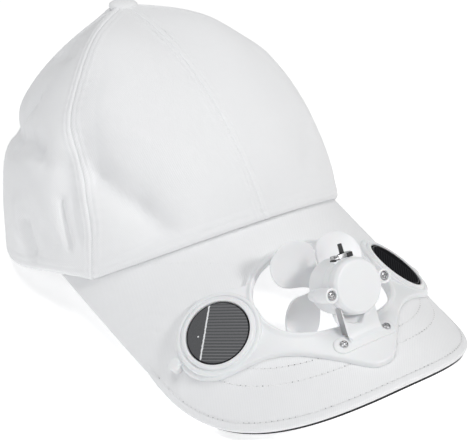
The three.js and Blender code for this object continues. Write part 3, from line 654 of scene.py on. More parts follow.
def shape_grid(bm: bmesh.types.BMesh, points: np.ndarray, weave: np.ndarray) -> None:
    """Moves a grid's points to their places and gives it its map.

    Args:
        bm: The grid.
        points: Places in millimetres.
        weave: The map's two values at each point.
    """
    for vert, point in zip(bm.verts, points):
        vert.co = point
    bm.verts.index_update()
    map_points(bm, lambda vert: weave[vert.index])


def map_points(bm: bmesh.types.BMesh, place: Callable[[bmesh.types.BMVert], tuple]) -> None:
    """Gives a mesh its weave map, from a function of each of its points.

    Args:
        bm: The mesh.
        place: The function, whose two values are the map's.
    """
    layer = bm.loops.layers.uv.new("weave")
    for face in bm.faces:
        for loop in face.loops:
            loop[layer].uv = place(loop.vert)


def sealed(bm: bmesh.types.BMesh, gap: float = 0.0, ends: bool = False) -> bmesh.types.BMesh:
    """Closes a shape and turns its faces outwards.

    Args:
        bm: The shape.
        gap: Points nearer to one another than this are merged, unless it is 0.
        ends: True if open ends get a face.

    Returns:
        The same shape.
    """
    if gap:
        bmesh.ops.remove_doubles(bm, verts=bm.verts, dist=gap)
    if ends:
        bmesh.ops.holes_fill(bm, edges=[edge for edge in bm.edges if edge.is_boundary])
    bmesh.ops.recalc_face_normals(bm, faces=bm.faces)
    return bm


def as_mesh(bm: bmesh.types.BMesh, name: str) -> bpy.types.Mesh:
    """Writes a shape out as mesh data, and frees it.

    Args:
        bm: The shape.
        name: The mesh data's name.

    Returns:
        The mesh data.
    """
    mesh = bpy.data.meshes.new(name)
    bm.to_mesh(mesh)
    bm.free()
    return mesh


def in_scene(name: str, data: bpy.types.ID) -> bpy.types.Object:
    """A new object of the scene that shows a mesh, a light or a camera.

    Args:
        name: The object's name.
        data: What it shows.

    Returns:
        The object.
    """
    made = bpy.data.objects.new(name, data)
    bpy.context.scene.collection.objects.link(made)
    return made


def add_copy(whole: bmesh.types.BMesh, mesh: bpy.types.Mesh, matrix: Matrix) -> None:
    """Adds a copy of a mesh, placed by a matrix, to a shape.

    Args:
        whole: The shape that takes the copy.
        mesh: The mesh.
        matrix: Where the copy goes.
    """
    placed = mesh.copy()
    placed.transform(matrix)
    whole.from_mesh(placed)
    bpy.data.meshes.remove(placed)


def lathe(profile: list[tuple[float, float]], steps: int = 72) -> bmesh.types.BMesh:
    """A solid spun about Z.

    Args:
        profile: Radius and height, in order, from axis to axis or round a ring.
        steps: Faces round the axis.

    Returns:
        The mesh, closed and facing outwards.
    """
    bm = bmesh.new()
    verts = [bm.verts.new((radius, 0, height)) for radius, height in profile]
    edges = [bm.edges.new(pair) for pair in zip(verts, verts[1:])]
    bmesh.ops.spin(bm, geom=[*verts, *edges], cent=(0, 0, 0), axis=(0, 0, 1), angle=2 * math.pi,
                   steps=steps, use_merge=True)
    return sealed(bm, FINE)


def rounded(profile: list[tuple[float, float, float]], steps: int = 5) -> list[tuple[float, float]]:
    """A profile with its corners rounded.

    Args:
        profile: Radius, height and corner radius of each point.
        steps: Faces round a corner.

    Returns:
        The finer profile.
    """
    points: list[tuple[float, float]] = []
    for k, (x, y, radius) in enumerate(profile):
        if radius <= 0 or k in (0, len(profile) - 1):
            points.append((x, y))
            continue
        here = np.array((x, y))
        before = np.array(profile[k - 1][:2]) - here
        after = np.array(profile[k + 1][:2]) - here
        reach = min(radius, 0.48 * np.linalg.norm(before), 0.48 * np.linalg.norm(after))
        start = here + before / np.linalg.norm(before) * reach
        end = here + after / np.linalg.norm(after) * reach
        for t in np.linspace(0, 1, steps + 1):
            points.append(tuple((1 - t) ** 2 * start + 2 * t * (1 - t) * here + t * t * end))
    return points


def drum(radius: float, low: float, high: float, edge: float = 0.4, steps: int = 48,
         foot: float | None = None) -> bmesh.types.BMesh:
    """A round rod along Z with soft edges.

    Args:
        radius: Its radius at the top.
        low: Its lower end.
        high: Its upper end.
        edge: The radius of its edges.
        steps: Faces round it.
        foot: Its radius at the lower end, if that differs.

    Returns:
        The mesh.
    """
    base = radius if foot is None else foot
    return lathe(rounded([(0, low, 0), (base, low, edge), (radius, high, edge), (0, high, 0)]), steps)


def block(low: tuple, high: tuple, edge: float = 0.3, segments: int = 3) -> bmesh.types.BMesh:
    """A box with bevelled edges, from its lowest to its highest corner.

    Args:
        low: The lowest corner.
        high: The highest corner.
        edge: The bevel's width.
        segments: Faces across the bevel.

    Returns:
        The mesh.
    """
    bm = bmesh.new()
    lowest, highest = Vector(low), Vector(high)
    bmesh.ops.create_cube(bm, size=1)
    bmesh.ops.scale(bm, vec=highest - lowest, verts=bm.verts)
    bmesh.ops.translate(bm, vec=(lowest + highest) / 2, verts=bm.verts)
    bmesh.ops.bevel(bm, geom=bm.edges[:], offset=edge, segments=segments, profile=0.5, affect="EDGES",
                    material=-1)
    return bm


def gather(parts: list[bmesh.types.BMesh]) -> bmesh.types.BMesh:
    """Puts several meshes into one, and frees them.

    Args:
        parts: The meshes.

    Returns:
        The one mesh.
    """
    whole = bmesh.new()
    for part in parts:
        scrap = as_mesh(part, "part")
        whole.from_mesh(scrap)
        bpy.data.meshes.remove(scrap)
    return whole


def moved(bm: bmesh.types.BMesh, matrix: Matrix) -> bmesh.types.BMesh:
    """The same mesh, placed by a matrix."""
    bmesh.ops.transform(bm, matrix=matrix, verts=bm.verts)
    return bm


@dataclass
class Piece:
    """What a finished piece of the hat is called, made of and stands for."""

    name: str
    finish: bpy.types.Material
    slot: str
    body: str = "cap"
    nodes: tuple = ()

    def register(self, made: bpy.types.Object) -> bpy.types.Object:
        """Dresses an object, lets it ride on its body and reports it.

        Args:
            made: The object.

        Returns:
            The same object.
        """
        made.name = self.name
        made.data.materials.clear()
        made.data.materials.append(self.finish)
        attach(made, self.body)
        if self.nodes:
            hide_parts(*self.nodes)
        log.info("%s: %d faces on %s", self.name, len(made.data.polygons), self.body)
        return made

    def build(self, bm: bmesh.types.BMesh, wall: float = 0.0, sharp: float = 0.0) -> bpy.types.Object:
        """Writes a mesh in millimetres out as a piece.

        Args:
            bm: The shape. It is freed.
            wall: The thickness of the wall that grows inwards, if it is a skin.
            sharp: The angle in degrees over which edges stay sharp, or 0.

        Returns:
            The piece.
        """
        bmesh.ops.scale(bm, vec=(MM, MM, MM), verts=bm.verts)
        mesh = as_mesh(bm, self.name)
        mesh.shade_smooth()
        if sharp:
            mesh.set_sharp_from_angle(angle=math.radians(sharp))
        made = in_scene(self.name, mesh)
        if wall:
            solidify = made.modifiers.new("wall", "SOLIDIFY")
            solidify.thickness = wall * MM
            solidify.offset = -1
        return self.register(made)


class Stitching:
    """The thread, and the painted shade of the needle's holes, for all the rows on one part of the hat."""

    def __init__(self) -> None:
        """Starts with no stitches."""
        self.thread = bmesh.new()
        self.holes = bmesh.new()

    def build(self, name: str, finishes: Finishes) -> None:
        """Writes the thread and the painted hole shade out as two pieces."""
        Piece(name + "_thread", finishes.thread, "cloth").build(self.thread)
        Piece(name + "_needle_holes", finishes.shadow, "cloth").build(self.holes)


@dataclass
class StitchRow:
    """A row of stitches along a line on a surface: small padded beads that sink a little into the cloth."""

    spacing: float = 2.7
    length: float = 1.9
    width: float = 0.52
    height: float = 0.30
    hole: float = 0.27
    lift: float = 0.16
    proud: float = 0.2

    def bead(self) -> bpy.types.Mesh:
        """One stitch, along X with its upper side towards Z.

        Returns:
            The stitch's mesh data.
        """
        bead = bmesh.new()
        bmesh.ops.create_uvsphere(bead, u_segments=6, v_segments=5, radius=1)
        bmesh.ops.scale(bead, vec=(self.height / 2, self.width / 2, self.length / 2), verts=bead.verts)
        bmesh.ops.rotate(bead, matrix=Matrix.Rotation(math.pi / 2, 3, "Y"), verts=bead.verts)
        return as_mesh(bead, "stitch")

    def prick(self) -> bpy.types.Mesh:
        """One needle's hole, as a small disc that faces Z and carries its painted shade.

        Returns:
            The hole's mesh data.
        """
        pit = bmesh.new()
        bmesh.ops.create_circle(pit, cap_ends=True, segments=8, radius=self.hole)
        return as_mesh(pit, "hole")

    def sew(self, seams: Stitching, line: np.ndarray, normals: np.ndarray) -> None:
        """Adds the row's stitches, and discs of painted shade for the needle's holes between them.

        Args:
            seams: The meshes that take them.
            line: Points along the row in millimetres.
            normals: Outward directions at those points.
        """
        run = distances(line)
        bead, prick = self.bead(), self.prick()
        for k in range(int(run[-1] / self.spacing)):
            here = (k + 0.5) * self.spacing
            start, end = point_at(line, run, here + np.array((-0.5, 0.5)) * self.length)
            up = Vector(point_at(normals, run, here)).normalized()
            along = Vector(end - start).normalized()
            across = up.cross(along).normalized()
            turn = Matrix((along, across, up)).transposed().to_4x4()
            middle = Vector((start + end) / 2) + up * self.height * self.proud
            gap = Vector(end) + along * (self.spacing - self.length) / 2 + up * self.lift
            add_copy(seams.thread, bead, Matrix.Translation(middle) @ turn)
            add_copy(seams.holes, prick, Matrix.Translation(gap) @ turn)
        for scrap in (bead, prick):
            bpy.data.meshes.remove(scrap)


# The peak's surface


@dataclass
class PeakForm:
    """The curved surface of the peak: a cylinder whose crest slopes down to the front."""

    board: float = 2.6
    radius: float = 95.3
    pitch: float = math.radians(13.5)
    length: float = 115.1
    shoulder_station: float = 29.8
    shoulder_arc: float = 94.5
    rear_arc: float = 104.0
    rear_azimuth: float = 68.0
    front_power: float = 2.25
    rim_half_width: float = 94.0
    rim_half_length: float = 96.0
    rear_inset: float = 3.3
    corner_back: float = 3.0
    seam_height: float = field(init=False)
    shift: float = field(init=False)

    def __post_init__(self) -> None:
        """Works out the height of the seam over the floor and the middle of the hat."""
        arc, station = self.front_edge(np.linspace(0, 1, 91))
        self.seam_height = 0.0
        self.shift = 0.0
        low = self.on(arc, station, -self.board)[:, 2].min()
        self.seam_height = -low
        tip = self.on(0.0, self.length, 0.0)
        self.shift = -(float(tip[1]) + self.rim_half_length) / 2

    def to_hat(self, local: np.ndarray) -> np.ndarray:
        """Points of the peak's own frame in the hat's frame.

        Args:
            local: Points with X, Y and Z in their last axis.

        Returns:
            The points, in the same layout.
        """
        cos, sin = math.cos(self.pitch), math.sin(self.pitch)
        x, y, z = np.moveaxis(np.asarray(local, float), -1, 0)
        return np.stack([
            x,
            y * cos - z * sin - self.rim_half_length + self.shift,
            y * sin + z * cos + self.seam_height,
        ], axis=-1)

    def on(self, arc: np.ndarray | float, station: np.ndarray | float,
           height: np.ndarray | float) -> np.ndarray:
        """Points by their arc across the peak, station along it and height over its upper face.

        Args:
            arc: Millimetres across the peak, along its curve.
            station: Millimetres from the seam towards the tip.
            height: Millimetres over the upper face.

        Returns:
            The points in the hat's frame.
        """
        arc, station, height = np.broadcast_arrays(*(np.asarray(v, float) for v in (arc, station, height)))
        turn = arc / self.radius
        reach = self.radius + height
        return self.to_hat(np.stack(
            [reach * np.sin(turn), -station, reach * np.cos(turn) - self.radius], axis=-1))

    def over_plan(self, x: np.ndarray, y: np.ndarray, height: np.ndarray) -> np.ndarray:
        """Points by their plan in the peak's frame and their height over its upper face."""
        return self.on(self.radius * np.arcsin(np.clip(x / self.radius, -1, 1)), -y, height)

    def normal(self, arc: np.ndarray) -> np.ndarray:
        """The direction out of the upper face."""
        origin = self.on(arc, np.zeros_like(arc), 0.0)
        return unit(self.on(arc, np.zeros_like(arc), 1.0) - origin)

    def front_edge(self, share: np.ndarray, inset: float = 0.0) -> tuple[np.ndarray, np.ndarray]:
        """Half of the front edge, from the tip at 0 to the shoulder at 1, moved in by a distance.

        Args:
            share: Shares of the way from the tip to the shoulder.
            inset: How far the line lies inside the edge.

        Returns:
            The arc and the station.
        """
        turn = np.asarray(share) * math.pi / 2
        power = 2 / self.front_power
        arc = (self.shoulder_arc - inset) * np.sin(turn) ** power
        reach = self.length - inset - self.shoulder_station
        return arc, self.shoulder_station + reach * np.cos(turn).clip(0) ** power

    @staticmethod
    def edge_shares(count: int) -> np.ndarray:
        """Shares along half of the front edge, closer together towards the shoulder."""
        return 1 - (1 - np.linspace(0, 1, count)) ** 1.4

    @staticmethod
    def both_halves(arc: np.ndarray, station: np.ndarray) -> tuple[np.ndarray, np.ndarray]:
        """A line from the peak's middle out to its left, joined to its mirror image on the right."""
        return np.concatenate([-arc[::-1], arc[1:]]), np.concatenate([station[::-1], station[1:]])

    def under(self, x: np.ndarray, y: np.ndarray) -> tuple[np.ndarray, np.ndarray, np.ndarray]:
        """The arc, station and height of the upper face under a plan point beside the seam's middle.

        Args:
            x: Millimetres to the wearer's left.
            y: Millimetres to the back.

        Returns:
            The arc, the station and the height in the hat.
        """
        turn = np.arcsin(np.clip(x / self.radius, -0.99, 0.99))
        sag = self.radius * (np.cos(turn) - 1)
        station = (y + self.rim_half_length + math.sin(self.pitch) * sag) / -math.cos(self.pitch)
        height = self.seam_height + math.cos(self.pitch) * sag - math.sin(self.pitch) * station
        return turn * self.radius, station, height

    def outline(self, count: int) -> tuple[np.ndarray, np.ndarray]:
        """The board's closed outline, in arc and station, from the left rear corner round the rear.

        Args:
            count: About how many points it gets.

        Returns:
            The arc and the station of each point.
        """
        azimuth = np.radians(np.linspace(self.rear_azimuth, -self.rear_azimuth, count // 3))
        rear_arc, rear_station, _ = self.under((self.rim_half_width - self.rear_inset) * np.sin(azimuth),
                                               -(self.rim_half_length - self.rear_inset) * np.cos(azimuth))
        arc, station = self.front_edge(self.edge_shares(count // 3))
        back = np.linspace(0, 1, count // 8)[1:]
        side_arc = self.shoulder_arc + (self.rear_arc - self.shoulder_arc) * back ** 0.9
        corner = rear_station[0] - self.corner_back
        side_station = self.shoulder_station + (corner - self.shoulder_station) * back
        free_arc, free_station = self.both_halves(np.concatenate([arc, side_arc]),
                                                  np.concatenate([station, side_station]))
        return np.concatenate([rear_arc, free_arc]), np.concatenate([rear_station, free_station])


@dataclass
class HoleForm:
    """The oval hole for the fan, in the plan of the peak."""

    half_width: float = 33.6
    half_length: float = 26.0
    station: float = 50.8
    power: float = 2.25

    def rim(self, angle: np.ndarray, grow: float = 0.0) -> tuple[np.ndarray, np.ndarray]:
        """The plan point of the hole's edge in a direction from its middle, moved out by a distance.

        Args:
            angle: Directions in radians.
            grow: How far outside the edge the points lie.

        Returns:
            X and Y in the peak's frame.
        """
        a, b = self.half_width + grow, self.half_length + grow
        cos, sin = np.cos(angle), np.sin(angle)
        reach = (np.abs(cos / a) ** self.power + np.abs(sin / b) ** self.power) ** (-1 / self.power)
        return reach * cos, reach * sin - self.station


@dataclass
class Fold:
    """A crease in the crown, between two places given by azimuth and by share of the way up."""

    start: tuple
    end: tuple
    width: float
    depth: float


@dataclass
class CrownForm:
    """The crown's outside, worked out once as a table over azimuth and share of the way up.

    A section holds its azimuth, the powers of its outward and upward curves, and between them its taper.
    """

    peak: PeakForm
    height: float = 124.0
    lean: float = 47.04
    hole: float = 3.9
    drop_from: float = 55.0
    drop_to: float = 115.0
    over_peak: float = 0.3
    side_seam_swing: float = 14.0
    side_seam_turn: tuple = (0.12, 0.5)
    sections: tuple = (
        (0, 0.82, 0.17, 1.19),
        (60, 0.29, 0.45, 0.59),
        (120, 1.82, 0.15, 0.49),
        (180, 0.9, 0.35, 0.85),
    )
    folds: tuple = (
        Fold((-128, 0.43), (-86, 0.40), 0.065, 0.048),
        Fold((-84, 0.37), (-70, 0.345), 0.060, 0.015),
        Fold((-61, 0.38), (-34, 0.10), 0.085, 0.032),
        Fold((-50, 0.50), (-26, 0.26), 0.10, -0.018),
        Fold((-67, 0.28), (-62, 0.12), 0.060, 0.020),
        Fold((-82, 0.18), (-78, 0.08), 0.060, 0.018),
        Fold((-102, 0.58), (-96, 0.45), 0.060, 0.018),
        Fold((-104, 0.74), (-92, 0.73), 0.050, 0.018),
        Fold((66, 0.52), (52, 0.34), 0.12, -0.020),
        Fold((110, 0.44), (84, 0.34), 0.07, 0.030),
        Fold((150, 0.46), (205, 0.40), 0.13, 0.030),
        Fold((-63, 0.335), (-55, 0.30), 0.060, 0.012),
        Fold((-55, 0.30), (-39, 0.17), 0.075, 0.018),
        Fold((-39, 0.17), (-30, 0.06), 0.055, 0.012),
        Fold((-68, 0.331), (-62, 0.231), 0.040, 0.007),
        Fold((-68, 0.219), (-63, 0.094), 0.022, 0.017),
        Fold((-66, 0.215), (-61, 0.094), 0.022, -0.009),
        Fold((-85, 0.156), (-78, 0.01), 0.028, 0.024),
        Fold((-91, 0.20), (-88, 0.13), 0.060, -0.018),
        Fold((-78, 0.325), (-72, 0.325), 0.050, 0.014),
        Fold((-73, 0.13), (-69, 0.09), 0.045, 0.012),
        Fold((-103, 0.57), (-108, 0.39), 0.028, 0.016),
        Fold((29, 0.13), (40, 0.22), 0.060, 0.012),
    )
    azimuths: np.ndarray = field(init=False)
    shares: np.ndarray = field(init=False)
    table: np.ndarray = field(init=False)
    inward: np.ndarray = field(init=False)

    def __post_init__(self) -> None:
        """Fills the table, with the folds pressed in."""
        self.azimuths = np.linspace(-184, 184, 737)
        self.shares = np.linspace(0, 1, 201)
        smooth = np.stack([self.section(azimuth) for azimuth in self.azimuths])
        self.inward = self.directions(smooth)
        depth = self.fold_depth(smooth) * plateau(self.shares, (0, 0.07), (0.85, 1))
        self.table = smooth + self.inward * depth[..., None]
        self.inward = self.directions(self.table)

    def directions(self, surface: np.ndarray) -> np.ndarray:
        """Directions into the crown all over a surface.

        Args:
            surface: A table of points over azimuth and share.

        Returns:
            A table of unit vectors.
        """
        rise = np.gradient(surface, axis=1)
        rise[:, :3] = rise[:, 3:4]
        around = np.gradient(surface, axis=0)
        return unit(np.cross(rise, around))

    def rim_point(self, azimuth: float) -> tuple[float, float]:
        """The rim's plan point at an azimuth in degrees, from the crown's middle."""
        turn = math.radians(azimuth)
        return self.peak.rim_half_width * math.sin(turn), -self.peak.rim_half_length * math.cos(turn)

    def on_peak(self, x: float, y: float) -> float:
        """Height of the rim where it stands on the peak at a plan point."""
        return float(self.peak.under(x, y)[2]) + self.over_peak

    def rim_height(self, azimuth: float, x: float, y: float) -> float:
        """Height of the rim: on the peak in front, and down on the floor at the sides and back.

        Args:
            azimuth: Degrees from the front.
            x: The rim's place across.
            y: The rim's place along.

        Returns:
            The height in millimetres.
        """
        side = self.on_peak(*self.rim_point(self.drop_from))
        side *= 1 - float(ease(azimuth, self.drop_from, self.drop_to))
        return max(side, self.on_peak(x, y)) if azimuth < self.peak.rear_azimuth + 2 else side

    def section(self, azimuth: float) -> np.ndarray:
        """Points up the smooth crown at an azimuth, at even shares of the way.

        Args:
            azimuth: Degrees from the front.

        Returns:
            One row for each share.
        """
        around = abs((azimuth + 180) % 360 - 180)
        rows = self.sections
        low = max(k for k in range(len(rows) - 1) if rows[k][0] <= around)
        share = float(ease(around, rows[low][0], rows[low + 1][0]))
        power, taper, upward = (a + (b - a) * share for a, b in zip(rows[low][1:], rows[low + 1][1:]))
        x, y = self.rim_point(azimuth)
        rim = self.rim_height(around, x, y)
        span = math.hypot(x, y - self.lean)
        steps = np.linspace(0, 1, 181)
        angle = math.pi / 2 * (1 - (1 - steps ** 2) ** 3.5)
        out = np.clip(np.cos(angle), 0, None) ** power * (1 - taper * np.sin(angle))
        rise = np.sin(angle) ** upward
        keep = np.concatenate([[True], (out * span >= self.hole)[:-1]])
        reach = np.maximum(out, self.hole / span)[keep]
        rise = rise[keep]
        line = np.stack([x * reach, y * reach + self.lean * (1 - reach) + self.peak.shift,
                         rim + (self.height - rim) * rise], axis=-1)
        run = distances(line)
        return point_at(line, run, self.shares * run[-1])

    def fold_depth(self, surface: np.ndarray) -> np.ndarray:
        """How far the folds push the wall in, all over a surface.

        Args:
            surface: The smooth crown.

        Returns:
            A table of depths in millimetres.
        """
        depth = np.zeros(surface.shape[:2])
        for fold in self.folds:
            middle = ((fold.start[0] + fold.end[0]) / 2, (fold.start[1] + fold.end[1]) / 2)
            a, b, c = (self.pick(surface, *place) for place in (fold.start, middle, fold.end))
            distance = np.minimum(self.to_line(surface, a, b), self.to_line(surface, b, c))
            depth += fold.depth * self.height * bump(distance, 0, fold.width * self.height)
        return depth

    def pick(self, surface: np.ndarray, azimuth: np.ndarray | float,
             share: np.ndarray | float) -> np.ndarray:
        """The value of a table at places between its rows.

        Args:
            surface: The table.
            azimuth: Degrees from the front.
            share: Shares of the way up.

        Returns:
            One vector for each place.
        """
        azimuth = (np.asarray(azimuth, float) + 180) % 360 - 180
        a = (azimuth - self.azimuths[0]) / (self.azimuths[1] - self.azimuths[0])
        s = np.clip(np.asarray(share, float), 0, 1) * (len(self.shares) - 1)
        i = np.clip(a.astype(int), 0, len(self.azimuths) - 2)
        j = np.clip(s.astype(int), 0, len(self.shares) - 2)
        fa, fs = (a - i)[..., None], (s - j)[..., None]
        lower = surface[i, j] * (1 - fs) + surface[i, j + 1] * fs
        upper = surface[i + 1, j] * (1 - fs) + surface[i + 1, j + 1] * fs
        return lower * (1 - fa) + upper * fa

    @staticmethod
    def to_line(surface: np.ndarray, a: np.ndarray, b: np.ndarray) -> np.ndarray:
        """Distance of every point from the line between two points.

        Args:
            surface: The points.
            a: One end of the line.
            b: The other end.

        Returns:
            The distances in millimetres.
        """
        along = b - a
        share = np.clip(((surface - a) @ along) / max(float(along @ along), 1e-9), 0, 1)
        return np.linalg.norm(surface - (a + share[..., None] * along), axis=-1)

    def seam(self, which: Seam, share: np.ndarray) -> np.ndarray:
        """Azimuth of a seam on the left half at shares of the way up. The side seam swings backwards."""
        swing = self.side_seam_swing * ease(share, *self.side_seam_turn) if which is Seam.SIDE else 0.0
        return np.full_like(share, which.value) + swing


@dataclass
class Crown:
    """The soft crown: six panels sewn together, a hem along the rim, rows of stitches and the button."""

    form: CrownForm
    finishes: Finishes
    wall: float = 1.3
    clear: float = 0.6
    clear_fade: float = 6.0
    panel_length: float = 172.0
    panel_bulge: float = 1.08
    weave_step: float = 0.31
    columns: int = 84
    rows: int = 150
    seam_depth: float = 1.05
    seam_width: float = 0.62
    allowance: float = 4.6
    stitch_offset: float = 3.1
    stitch_span: tuple = (0.025, 0.93)
    stitch_sink: float = 0.05
    rim_stitch: float = 4.2
    rim_stitch_lift: float = 0.10
    hem: float = 6.5
    raised: float = 0.20
    row_depth: float = 0.20
    edge_depth: float = 0.45
    hem_raised: float = 0.30
    rim_row_depth: float = 0.22
    pucker_depth: float = 0.07
    pucker_spacing: float = 5.4
    button_radius: float = 8.2
    button_height: float = 3.8

    def build(self) -> None:
        """Builds and dresses everything."""
        for where in Panel:
            for side in Side:
                self.panel(where, side)
        self.stitches()
        self.button()

    def relief(self, from_seam: np.ndarray, from_rim: np.ndarray, run: np.ndarray) -> np.ndarray:
        """How far the sewing presses the cloth in.

        Args:
            from_seam: Millimetres from the nearer seam.
            from_rim: Millimetres up from the rim.
            run: Millimetres along the seam, for the puckers.

        Returns:
            Depth in millimetres; negative stands proud.
        """
        pucker = self.pucker_depth * np.sin(run * 2 * math.pi / self.pucker_spacing + 2.1 * np.sin(run / 17))
        seam = self.seam_depth * bump(from_seam, 0, self.seam_width)
        raised = self.raised * plateau(from_seam, (0.3, 1.4), (self.allowance, self.allowance + 1.4))
        row = (self.row_depth + pucker) * bump(from_seam, self.stitch_offset, 0.55)
        edge = self.edge_depth * bump(from_rim, 0, 0.9)
        hem = self.hem_raised * plateau(from_rim, (0.3, 1.6), (self.hem, self.hem + 1.4))
        rim_row = (self.rim_row_depth + pucker) * bump(from_rim, self.rim_stitch, 0.6)
        return seam - raised + row + edge - hem + rim_row + pucker * bump(from_seam, 5.5, 3.0) * 0.8

    def panel(self, where: Panel, side: Side) -> None:
        """One panel between two seams.

        Args:
            where: Which of the three panels.
            side: On which side of the hat.
        """
        form = self.form
        bm, u, v = grid(self.columns, self.rows)
        share = v ** 1.15
        low, high = (side.value * form.seam(seam, share) for seam in where.seams)
        spread = 0.5 - 0.5 * np.cos(math.pi * u)
        azimuth = low + (high - low) * spread
        points = form.pick(form.table, azimuth, share)
        inward = unit(form.pick(form.inward, azimuth, share))
        chord = form.pick(form.table, low, share) - form.pick(form.table, high, share)
        width = np.linalg.norm(chord, axis=-1) * self.panel_bulge
        from_seam = np.minimum(spread, 1 - spread) * width
        from_rim = share * self.panel_length
        points = points + inward * self.relief(from_seam, from_rim, from_rim)[:, None]
        points[:, 2] += self.clear * (1 - ease(from_rim, 0, self.clear_fade))
        across = (spread - 0.5) * width * MM + self.weave_step * where.place
        shape_grid(bm, points, np.stack([across, from_rim * MM], axis=-1))
        if side is Side.LEFT:
            bmesh.ops.reverse_faces(bm, faces=bm.faces)
        name = f"crown_panel_{where.value}_{side.word}"
        Piece(name + "_cloth", self.finishes.cloth, "cloth", nodes=(name,)).build(bm, wall=self.wall)

    def line(self, azimuth: np.ndarray, share: np.ndarray, sink: float) -> tuple[np.ndarray, np.ndarray]:
        """Points and outward directions along a line on the crown."""
        inward = unit(self.form.pick(self.form.inward, azimuth, share))
        return self.form.pick(self.form.table, azimuth, share) + inward * sink, -inward

    def stitches(self) -> None:
        """Rows beside every seam but the one up the middle of the back, and round the rim."""
        seams = Stitching()
        row = StitchRow()
        form = self.form
        share = np.linspace(*self.stitch_span, 160)
        for side in Side:
            for seam in (Seam.FRONT, Seam.SIDE, Seam.BACK_SIDE):
                base = side.value * form.seam(seam, share)
                degree = form.pick(form.table, base + 1.0, share) - form.pick(form.table, base, share)
                turn = self.stitch_offset / np.maximum(np.linalg.norm(degree, axis=-1), 0.2)
                for way in ((side.value,) if seam is Seam.FRONT else (-1, 1)):
                    row.sew(seams, *self.line(base + way * turn, share, self.stitch_sink))
        around = np.linspace(-180, 180, 400)
        up = np.full_like(around, self.rim_stitch / self.panel_length)
        row.sew(seams, *self.line(around, up, -self.rim_stitch_lift))
        seams.build("crown", self.finishes)

    def button(self) -> None:
        """The cloth covered button at the top."""
        radius, height = self.button_radius, self.button_height
        profile = [(0, -1.5, 0), (radius - 1.2, -0.9, 0.3), (radius, 0.3, 0.5), (radius, 1.1, 0.6)]
        dome = [(radius * math.cos(t), 1.1 + (height - 1.1) * math.sin(t)) for t in np.linspace(0.2, 1.5, 9)]
        bm = lathe([*rounded(profile), *dome, (0, height)], 64)
        map_points(bm, lambda vert: (vert.co.x * MM, vert.co.y * MM))
        middle = (0, self.form.lean + self.form.peak.shift, self.form.height)
        bmesh.ops.translate(bm, vec=middle, verts=bm.verts)
        Piece("crown_button_cloth", self.finishes.cloth, "cloth", nodes=("crown_button",)).build(bm)


